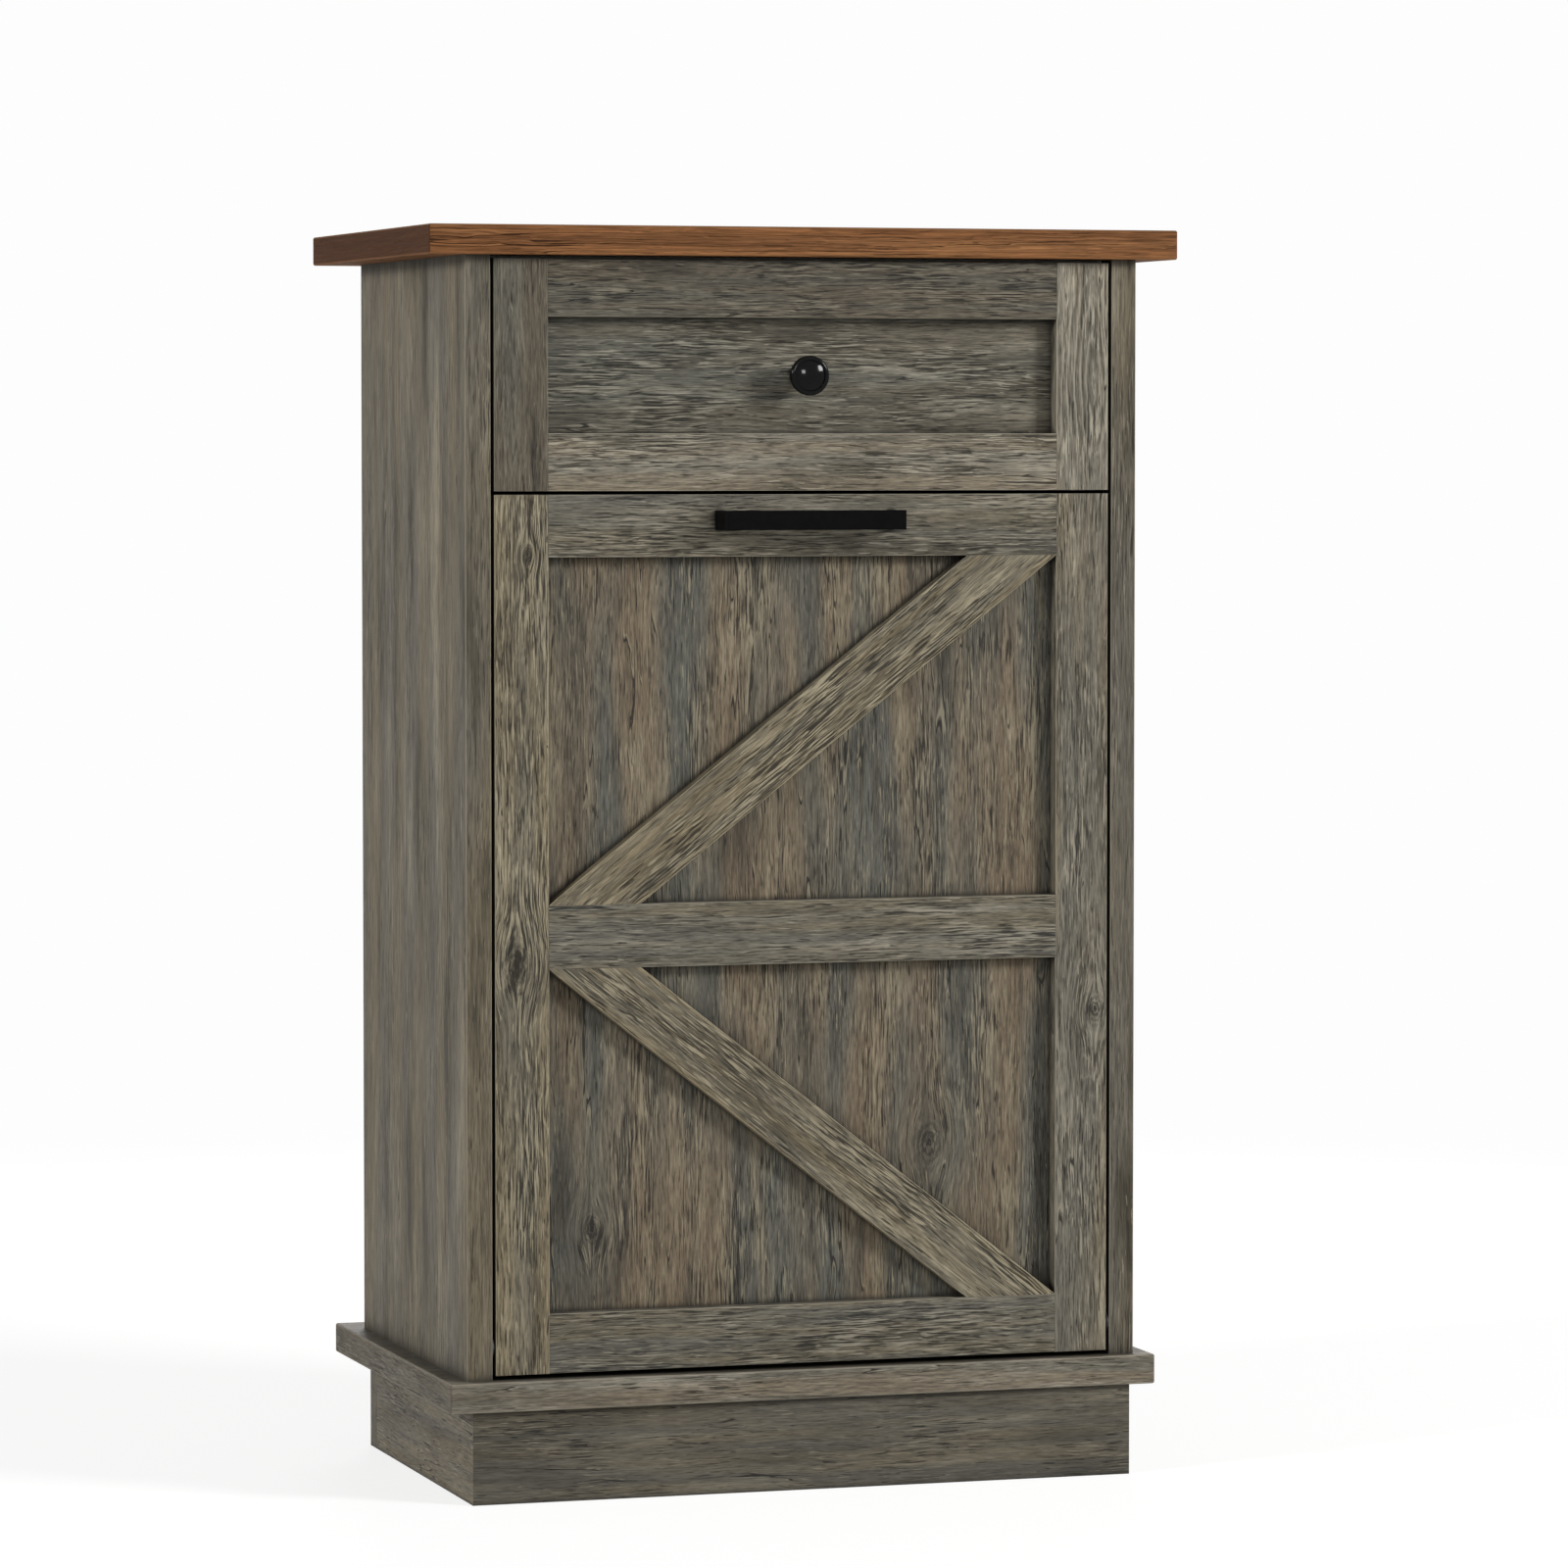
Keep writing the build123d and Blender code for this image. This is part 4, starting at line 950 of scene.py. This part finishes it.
@dataclass(frozen=True)
class CrossScrews:
    """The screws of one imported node, with a domed head, a cross recess, a helical thread and a point.

    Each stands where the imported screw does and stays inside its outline. Shares are of the head's
    radius.
    """

    node: str
    slot: str = "zinc_plated_steel"
    finish: PlainFinish = ZINC_PLATE
    sides: int = 20
    weld: float = 0.001 * MM
    end_reach: float = 0.1 * MM
    head_height: float = 1.0 * MM
    rim_height: float = 0.4 * MM
    flat_share: float = 0.66
    dome_steps: Four = (0.5, 0.8, 0.95, 1.0)
    arm_reach: float = 0.56
    arm_width: float = 0.15
    recess_depth: float = 1.3 * MM
    recess_taper: float = 0.4
    thread_pitch: float = 1.6 * MM
    thread_depth: float = 0.45 * MM
    thread_steepness: float = 1.6
    rows_per_turn: int = 3
    point_length: float = 3.0 * MM

    def places(self) -> list[ScrewPlace]:
        """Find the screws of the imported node, one for each loose shell of its mesh.

        Returns:
            The places of the screws.
        """
        shape = bmesh.new()
        shape.from_mesh(frame["nodes"][self.node].data)
        bmesh.ops.remove_doubles(shape, verts=shape.verts, dist=self.weld)
        left = set(shape.verts)
        found = []
        while left:
            shell = [left.pop()]
            for vertex in shell:
                near = {edge.other_vert(vertex) for edge in vertex.link_edges} & left
                left -= near
                shell.extend(near)
            found.append(self.read_place([vertex.co.copy() for vertex in shell]))
        shape.free()
        return sorted(found, key=lambda place: tuple(place.crown))

    def read_place(self, points: list[Vector]) -> ScrewPlace:
        """Read a screw's place off the points of its packed shell.

        Args:
            points: The shell's corners.

        Returns:
            The screw's place.
        """
        low = Vector([min(point[axis] for point in points) for axis in range(3)])
        high = Vector([max(point[axis] for point in points) for axis in range(3)])
        size = high - low
        along = max(range(3), key=lambda axis: size[axis])
        middle = (low + high) / 2
        radii = []
        for end in (low, high):
            ring = [point for point in points if abs(point[along] - end[along]) < self.end_reach]
            spans = [point - middle for point in ring]
            for span in spans:
                span[along] = 0.0
            radii.append(max(span.length for span in spans))
        outward = Vector((0.0, 0.0, 0.0))
        outward[along] = 1.0 if radii[1] > radii[0] else -1.0
        crown = middle + outward * size[along] / 2
        return ScrewPlace(crown, outward, max(radii), min(radii), size[along])

    def ring(self, shape: Shape, radius: float, height: float) -> Corners:
        """Set a round of corners.

        Args:
            shape: The mesh in hand.
            radius: The round's radius.
            height: Its height above the crown, below 0 towards the point.

        Returns:
            The corners in order.
        """
        corners = []
        for step in range(self.sides):
            turn = 2 * math.pi * step / self.sides
            corners.append(shape.verts.new((radius * math.cos(turn), radius * math.sin(turn), height)))
        return corners

    def cross(self, shape: Shape, reach: float, width: float, height: float) -> Corners:
        """Set the twelve corners of a cross.

        Args:
            shape: The mesh in hand.
            reach: How far its arms reach.
            width: Half the width of an arm.
            height: Its height above the crown.

        Returns:
            The corners in order.
        """
        outline = ((reach, -width), (reach, width), (width, width))
        arm = [Vector((x, y, height)) for x, y in outline]
        corners = []
        for quarter in range(4):
            turn = Matrix.Rotation(quarter * math.pi / 2, 3, "Z")
            corners += [shape.verts.new(turn @ corner) for corner in arm]
        return corners

    def join(self, shape: Shape, upper: Corners, lower: Corners) -> None:
        """Close the band between two rounds of as many corners.

        Args:
            shape: The mesh in hand.
            upper: The round nearer the crown.
            lower: The round nearer the point.
        """
        count = len(upper)
        for step in range(count):
            after = (step + 1) % count
            shape.faces.new((upper[step], lower[step], lower[after], upper[after]))

    def build_head(self, shape: Shape, place: ScrewPlace) -> Corners:
        """Build the domed head with its recess.

        Args:
            shape: The mesh in hand.
            place: The screw's place and sizes.

        Returns:
            The round under the head.
        """
        wide = place.head_radius
        flat = self.ring(shape, self.flat_share * wide, 0.0)
        mouth = self.cross(shape, self.arm_reach * wide, self.arm_width * wide, 0.0)
        bed_width = self.recess_taper * self.arm_width * wide
        bed = self.cross(shape, self.recess_taper * self.arm_reach * wide, bed_width, -self.recess_depth)
        edges = []
        for corners in (flat, mouth):
            for step, corner in enumerate(corners):
                edges.append(shape.edges.new((corner, corners[(step + 1) % len(corners)])))
        bmesh.ops.triangle_fill(shape, edges=edges, use_beauty=True)
        self.join(shape, mouth, bed)
        shape.faces.new(bed)
        dome = self.head_height - self.rim_height
        upper = flat
        for share in self.dome_steps:
            radius = wide * (self.flat_share + (1 - self.flat_share) * share)
            lower = self.ring(shape, radius, -dome * (1 - math.sqrt(1 - share**2)))
            self.join(shape, upper, lower)
            upper = lower
        under = self.ring(shape, wide, -self.head_height)
        self.join(shape, upper, under)
        return under

    def build_shank(self, shape: Shape, place: ScrewPlace, under: Corners) -> None:
        """Build the shank with its helical thread, down to the point.

        Args:
            shape: The mesh in hand.
            place: The screw's place and sizes.
            under: The round under the head.
        """
        core = place.shank_radius - self.thread_depth
        upper = self.ring(shape, place.shank_radius, -self.head_height)
        self.join(shape, under, upper)
        rise = self.thread_pitch / self.rows_per_turn
        rows = int((place.length - self.head_height) / rise)
        for row in range(1, rows):
            depth = self.head_height + row * rise
            narrow = min(1.0, (place.length - depth) / self.point_length)
            lower = self.ring(shape, 1.0, -depth)
            for step, corner in enumerate(lower):
                share = (row / self.rows_per_turn + step / self.sides) % 1.0
                crest = max(0.0, 1.0 - self.thread_steepness * abs(2 * share - 1))
                radius = (core + self.thread_depth * crest) * narrow
                corner.co.xy = corner.co.xy * radius
            self.join(shape, upper, lower)
            upper = lower
        tip = shape.verts.new((0.0, 0.0, -place.length))
        for step, corner in enumerate(upper):
            shape.faces.new((corner, tip, upper[(step + 1) % self.sides]))

    def build(self) -> None:
        """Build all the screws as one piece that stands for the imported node."""
        whole = bmesh.new()
        places = self.places()
        for place in places:
            shape = bmesh.new()
            under = self.build_head(shape, place)
            self.build_shank(shape, place, under)
            turn = place.outward.to_track_quat("Z", "Y").to_matrix().to_4x4()
            shape.transform(Matrix.Translation(place.crown) @ turn)
            bmesh.ops.recalc_face_normals(shape, faces=shape.faces)
            mesh = bpy.data.meshes.new("one_screw")
            shape.to_mesh(mesh)
            shape.free()
            whole.from_mesh(mesh)
            bpy.data.meshes.remove(mesh)
        mesh = bpy.data.meshes.new(f"cross_{self.node}")
        whole.to_mesh(mesh)
        whole.free()
        piece = bpy.data.objects.new(f"cross_{self.node}", mesh)
        bpy.context.scene.collection.objects.link(piece)
        mesh.materials.append(Finishes.get(self.finish))
        bodies = frame["record"]["behaviour"]["bodies"]
        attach(piece, next(body for body, nodes in bodies.items() if self.node in nodes))
        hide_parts(self.node)
        log.info("%s: %d screws", piece.name, len(places))


# The machine screws of the knob and the handle have a high head and a blunt end.
MACHINE_SCREW: dict[str, float] = {"head_height": 2.0 * MM, "point_length": 1.0 * MM}


# Sub-assemblies


@dataclass
class SubAssembly:
    """A part of the cabinet that is built and dressed at one go."""

    def boards(self) -> tuple[OakLaminate, ...]:
        """The boards that wear printed oak."""
        return ()

    def fittings(self) -> dict[str, PlainFinish]:
        """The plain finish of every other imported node."""
        return {}

    def screws(self) -> tuple[CrossScrews, ...]:
        """The screws that are built here."""
        return ()

    def build(self) -> None:
        """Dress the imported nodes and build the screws."""
        for board in self.boards():
            dress(board.node, board.material())
        for node, finish in self.fittings().items():
            dress(node, Finishes.get(finish))
        for screw in self.screws():
            dress(screw.node, Finishes.get(screw.finish))
            screw.build()


@dataclass
class Carcass(SubAssembly):
    """The two side panels, the top and ledge boards, and the boards and fittings between them."""

    top_streak: float = 9.0
    top_rings: Rings = Rings((0.0, -20.0, 930.0), strength=0.4)
    side_streak: float = 34.0
    side_patch: float = 32.0
    side_rings: Rings = Rings(strength=0.15)
    ledge_streak: float = 9.0

    def boards(self) -> tuple[OakLaminate, ...]:
        """Lay out the carcass boards that wear printed oak.

        Returns:
            The boards.
        """
        side = {"decor": Decor.SIDE, "grain": Grain.UP, "face": Axis.X, "rings": self.side_rings}
        side |= {"check_share": 0.15, "split_share": 0.1, "line_strength": 0.9, "stretch": 1.5}
        side |= {"band_width": self.side_streak, "tone_width": self.side_patch, "band_strength": 1.4}
        # The side panels get painted shade out to 20 mm from their inner corners.
        side |= {"edge_shade": 0.15, "dirt_reach": 20.0}
        return (
            OakLaminate(
                "top_board", Decor.TOP, Grain.ACROSS, 31, rings=self.top_rings,
                band_width=self.top_streak, check_share=0.0, split_share=0.0, stretch=4.0,
                # The top's eased edges get a weak painted highlight.
                ends_apart=True, face=Axis.Z, edge_axis=Axis.X, edge_shade=0.93, edge_highlight=0.3,
                specular=0.05,
            ),
            OakLaminate("left_side_panel", seed=2, **side),
            OakLaminate("right_side_panel", seed=3, **side),
            OakLaminate(
                "ledge_board", Decor.LEDGE, Grain.ACROSS, 4, band_width=self.ledge_streak,
                check_share=0.45, ends_apart=True, face=Axis.Z, edge_axis=Axis.X, edge_shade=0.5,
                # The ledge gets a weak painted highlight on its edges, and painted shade reaching 60 mm,
                # so its top darkens along the side panels' feet.
                edge_highlight=0.4, dirt_reach=60.0,
            ),
        )

    def fittings(self) -> dict[str, PlainFinish]:
        """Choose the plain finishes of the carcass.

        Returns:
            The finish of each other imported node.
        """
        return {
            "back_panel": HARDBOARD,
            "divider_shelf": MELAMINE,
            "front_stretcher": MELAMINE,
            "rear_stretcher": MELAMINE,
            "cam_locks": CAST_ZINC,
            "cam_bolts": ZINC_PLATE,
            "stay_guide_pins": ZINC_PLATE,
            "pivot_bushings": BLACK_NYLON,
            "magnetic_catch": ABS,
        }

    def screws(self) -> tuple[CrossScrews, ...]:
        """The screws that are built here."""
        return (CrossScrews("back_panel_screws"),)


@dataclass
class Plinth(SubAssembly):
    """The four plinth boards and their corner blocks."""

    streak: float = 12.0

    def boards(self) -> tuple[OakLaminate, ...]:
        """Lay out the plinth boards.

        Returns:
            The boards.
        """
        look = {"check_share": 0.2, "line_strength": 0.65, "band_strength": 0.8}
        look |= {"band_width": self.streak}
        return (
            OakLaminate("plinth_front", Decor.PLINTH, Grain.ACROSS, 5, **look),
            OakLaminate("plinth_back", Decor.PLINTH, Grain.ACROSS, 6, **look),
            OakLaminate("plinth_left", Decor.SIDE, Grain.DEEP, 7, face=Axis.X, **look),
            OakLaminate("plinth_right", Decor.SIDE, Grain.DEEP, 8, face=Axis.X, **look),
        )

    def fittings(self) -> dict[str, PlainFinish]:
        """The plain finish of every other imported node."""
        return {"plinth_corner_blocks": PINE}


@dataclass
class Runners(SubAssembly):
    """The four runner members, their rollers and their screws."""

    sides: tuple[str, ...] = ("left", "right")

    def fittings(self) -> dict[str, PlainFinish]:
        """Choose the finishes of the runner members and rollers.

        Returns:
            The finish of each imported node.
        """
        members, ends = ("cabinet", "drawer"), ("front", "rear")
        steel = {f"{side}_{part}_runner": EPOXY_STEEL for side in self.sides for part in members}
        rollers = {f"{end}_{side}_roller": NYLON for end in ends for side in self.sides}
        return steel | rollers

    def screws(self) -> tuple[CrossScrews, ...]:
        """The screws that are built here."""
        return CrossScrews("cabinet_runner_screws"), CrossScrews("drawer_runner_screws")


@dataclass
class Drawer(SubAssembly):
    """The framed drawer front, its knob and the drawer's box."""

    panel_streak: float = 16.0
    rail_streak: float = 10.0
    arch: Rings = Rings((217.0, -155.75, 795.0), slope=0.2, width=4.4, strength=0.6)

    def boards(self) -> tuple[OakLaminate, ...]:
        """Lay out the boards of the drawer front.

        Returns:
            The boards.
        """
        rail = {"grain": Grain.ACROSS, "check_share": 0.6, "band_width": self.rail_streak}
        return (
            OakLaminate(
                "drawer_front_panel", Decor.GREEN_GREY, Grain.ACROSS, 9, check_share=0.65,
                band_width=self.panel_streak,
            ),
            OakLaminate("drawer_left_stile", Decor.DUSK, Grain.UP, 10, check_share=0.3),
            OakLaminate(
                "drawer_right_stile", Decor.PALE, Grain.UP, 11, rings=self.arch, check_share=0.35,
                split_share=0.5,
            ),
            OakLaminate("drawer_top_rail", Decor.DUSK, seed=12, **rail),
            OakLaminate("drawer_bottom_rail", Decor.PALE, seed=13, **rail),
        )

    def fittings(self) -> dict[str, PlainFinish]:
        """Choose the plain finishes of the drawer.

        Returns:
            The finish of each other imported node.
        """
        return {
            "drawer_left_side": MELAMINE,
            "drawer_right_side": MELAMINE,
            "drawer_box_front": MELAMINE,
            "drawer_back": MELAMINE,
            "drawer_bottom": HARDBOARD,
            "drawer_knob": BLACK_ENAMEL,
        }

    def screws(self) -> tuple[CrossScrews, ...]:
        """The screws that are built here."""
        return CrossScrews("drawer_screws"), CrossScrews("knob_screw", **MACHINE_SCREW)


@dataclass
class TiltDoor(SubAssembly):
    """The framed and braced door, its handle, and the bin holder, pivots and stays behind it."""

    brace_width: float = 41.6 * MM
    panel_streak: float = 34.0
    rail_streak: float = 12.0
    brace_streak: float = 9.0
    left_arch: Rings = Rings((-205.0, -155.75, 660.0), slope=0.2, width=4.4, strength=0.55)
    right_arch: Rings = Rings((214.0, -155.75, 340.0), slope=0.2, strength=0.4)
    panel_knots: tuple[Knot, ...] = (Knot(-155.0, 190.6, 4.5), Knot(97.0, 244.3, 6.5))
    left_knots: tuple[Knot, ...] = (Knot(-204.2, 669.3, 2.4), Knot(-213.4, 381.1, 6.5))
    right_knots: tuple[Knot, ...] = (Knot(219.6, 339.1, 4.0),)

    def brace_lean(self, node: str) -> float:
        """The slope of a brace, from the box of its node.

        Args:
            node: The brace's name.

        Returns:
            The angle of its long edges above the horizontal.
        """
        low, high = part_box(node)
        width, height = high.x - low.x, high.z - low.z
        return math.atan2(height, width) + math.asin(self.brace_width / math.hypot(width, height))

    def boards(self) -> tuple[OakLaminate, ...]:
        """Lay out the boards of the door front.

        Returns:
            The boards.
        """
        rail = {"decor": Decor.BLUE_GREY, "grain": Grain.ACROSS, "check_share": 0.85}
        rail |= {"band_width": self.rail_streak}
        brace = {"decor": Decor.SANDY, "grain": Grain.ACROSS, "check_share": 0.9}
        brace |= {"band_width": self.brace_streak}
        upper_lean = self.brace_lean("door_upper_brace")
        lower_lean = -self.brace_lean("door_lower_brace")
        return (
            OakLaminate(
                "door_panel", Decor.BANDED, Grain.UP, 14, band_width=self.panel_streak,
                band_strength=1.1, check_share=0.4, split_share=0.6, knots=self.panel_knots,
            ),
            OakLaminate(
                "door_left_stile", Decor.SANDY, Grain.UP, 15, rings=self.left_arch, check_share=0.75,
                split_share=0.5, knots=self.left_knots,
            ),
            OakLaminate(
                "door_right_stile", Decor.GREY, Grain.UP, 16, rings=self.right_arch, check_share=0.65,
                split_share=0.4, knots=self.right_knots,
            ),
            OakLaminate("door_top_rail", seed=37, **rail),
            OakLaminate("door_mid_rail", seed=18, **rail),
            OakLaminate("door_bottom_rail", seed=19, **rail),
            OakLaminate("door_upper_brace", seed=20, lean=upper_lean, **brace),
            OakLaminate("door_lower_brace", seed=21, lean=lower_lean, **brace),
        )

    def fittings(self) -> dict[str, PlainFinish]:
        """Choose the plain finishes of the door.

        Returns:
            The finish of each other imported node.
        """
        return {
            "door_handle": POWDER_COAT,
            "holder_left_side": MELAMINE,
            "holder_right_side": MELAMINE,
            "holder_shelf": MELAMINE,
            "holder_rear_rail": MELAMINE,
            "pivot_pins": ZINC_PLATE,
            "quadrant_stays": ZINC_PLATE,
            "strike_plate": ZINC_PLATE,
        }

    def screws(self) -> tuple[CrossScrews, ...]:
        """The screws that are built here."""
        return CrossScrews("holder_screws"), CrossScrews("handle_screws", **MACHINE_SCREW)


# Floor, light and camera


@dataclass(frozen=True)
class Lamp:
    """A square soft box, by its place, its side in metres and its power in watts.

    A glint box shows only as a mirror image in the glossy fittings.
    """

    name: str
    place: Triple
    side: float
    power: float
    glint: bool = False


@dataclass
class Studio:
    """A plain pale floor, soft light and the camera at the photograph's angle."""

    floor_reach: float = 14.0
    floor_clear: float = 0.9
    floor_fade: float = 2.4
    floor_colour: str = "#f4f4f3"
    white: str = "#fdfdfd"
    floor_glow: float = 0.6
    floor_lift: float = 1.29
    sky: str = "#ffffff"
    ambient: float = 0.16
    aim: Triple = (0.0, 0.0, 0.45)
    lamps: tuple[Lamp, ...] = (
        Lamp("right_soft_box", (3.2, -2.9, 2.2), 1.0, 150.0),
        Lamp("front_glint_box", (-0.4, -4.8, 1.75), 0.75, 62.0, glint=True),
        Lamp("left_soft_box", (-4.0, -1.5, 1.9), 0.7, 85.0),
        Lamp("rear_soft_box", (1.2, 4.2, 1.8), 1.4, 70.0),
    )
    camera_place: Triple = (-1.4366, -4.6841, 0.7508)
    camera_turn: float = 0.304
    camera_drop: float = math.radians(2.96)
    lens: float = 153.5
    sensor: float = 36.0
    view_reach: float = 100.0

    def plain_to_the_eye(self, tree: Tree) -> Socket:
        """Tell the rays that come from the camera, a mirror or glass, which see the plain background.

        Args:
            tree: The nodes of the floor or the world.

        Returns:
            1 for those rays and 0 for the others.
        """
        camera = add_node(tree, "LightPath", output="Is Camera Ray")
        mirror = add_node(tree, "LightPath", output="Is Glossy Ray")
        glass = add_node(tree, "LightPath", output="Is Transmission Ray")
        either = add_node(tree, "Math", {0: mirror, 1: glass}, operation="MAXIMUM")
        return add_node(tree, "Math", {0: camera, 1: either}, operation="MAXIMUM")

    def paint_floor(self) -> Material:
        """Mix the floor's paint, lit and shaded near the cabinet and plain white further off.

        Returns:
            The finished material.
        """
        # Matt white paint on a smooth floor: it gives the eye a soft shadow round the plinth.
        material = new_material("painted_floor")
        tree = material.node_tree
        place = add_node(tree, "TexCoord", output="Object")
        distance = add_node(tree, "VectorMath", {0: place}, "Value", operation="LENGTH")
        glowing = {0: distance, 1: self.floor_clear, 2: self.floor_fade, 3: self.floor_glow, 4: 1.0}
        # Near the cabinet the paint holds the shadow, and the lift makes up for the light it loses.
        lifting = {0: distance, 1: self.floor_clear, 2: self.floor_fade, 3: self.floor_lift, 4: 1.0}
        glow_share = add_node(tree, "MapRange", glowing, interpolation_type="SMOOTHSTEP")
        lift = add_node(tree, "MapRange", lifting, interpolation_type="SMOOTHSTEP")
        seen = {0: glow_share, 1: self.plain_to_the_eye(tree)}
        share = add_node(tree, "Math", seen, operation="MULTIPLY")
        paint = add_node(tree, "BsdfDiffuse", {"Color": linear(self.floor_colour)})
        glow = add_node(tree, "Emission", {"Color": linear(self.white), "Strength": lift})
        shader = add_node(tree, "MixShader", {0: share, 1: paint, 2: glow})
        add_node(tree, "OutputMaterial", {"Surface": shader})
        return material

    def build_floor(self) -> None:
        """Lay the floor."""
        mesh = bpy.data.meshes.new("floor")
        shape = bmesh.new()
        bmesh.ops.create_grid(shape, x_segments=8, y_segments=8, size=self.floor_reach)
        shape.to_mesh(mesh)
        shape.free()
        floor = bpy.data.objects.new("floor", mesh)
        bpy.context.scene.collection.objects.link(floor)
        floor.location.z = CAD_BOX[0].z
        mesh.materials.append(self.paint_floor())

    def build_world(self) -> None:
        """Surround the scene with soft light that looks white to the eye."""
        world = bpy.data.worlds.new("studio")
        bpy.context.scene.world = world
        world.use_nodes = True
        tree = world.node_tree
        tree.nodes.clear()
        soft = add_node(tree, "Background", {"Color": linear(self.sky), "Strength": self.ambient})
        plain = add_node(tree, "Background", {"Color": linear(self.white), "Strength": 1.0})
        shader = add_node(tree, "MixShader", {0: self.plain_to_the_eye(tree), 1: soft, 2: plain})
        add_node(tree, "OutputWorld", {"Surface": shader})

    def build_lamps(self) -> None:
        """Hang the soft boxes and turn them to the cabinet."""
        for lamp in self.lamps:
            light = bpy.data.lights.new(lamp.name, "AREA")
            light.shape = "SQUARE"
            light.size = lamp.side
            light.energy = lamp.power
            box = bpy.data.objects.new(lamp.name, light)
            box.visible_diffuse = not lamp.glint
            box.location = lamp.place
            towards = Vector(self.aim) - Vector(lamp.place)
            box.rotation_euler = towards.to_track_quat("-Z", "Y").to_euler()
            bpy.context.scene.collection.objects.link(box)

    def build_camera(self) -> None:
        """Set up the camera."""
        view = bpy.data.cameras.new("camera")
        view.lens = self.lens
        view.sensor_width = self.sensor
        view.sensor_fit = "HORIZONTAL"
        view.clip_end = self.view_reach
        camera = bpy.data.objects.new("camera", view)
        camera.location = self.camera_place
        turn = (math.pi / 2 - self.camera_drop, 0.0, -self.camera_turn)
        camera.rotation_euler = Euler(turn, "XYZ")
        bpy.context.scene.collection.objects.link(camera)
        bpy.context.scene.camera = camera

    def build(self) -> None:
        """Build the floor, the world, the lamps and the camera."""
        self.build_floor()
        self.build_world()
        self.build_lamps()
        self.build_camera()
        bpy.context.scene.view_settings.view_transform = "Standard"
        log.info("studio: %d lamps", len(self.lamps))


def main() -> None:
    """Build the cabinet's looks and its surroundings."""
    for assembly in (Carcass(), Plinth(), Runners(), Drawer(), TiltDoor()):
        assembly.build()
        log.info("%s is done", type(assembly).__name__)
    Studio().build()


if __name__ == "__main__":
    main()
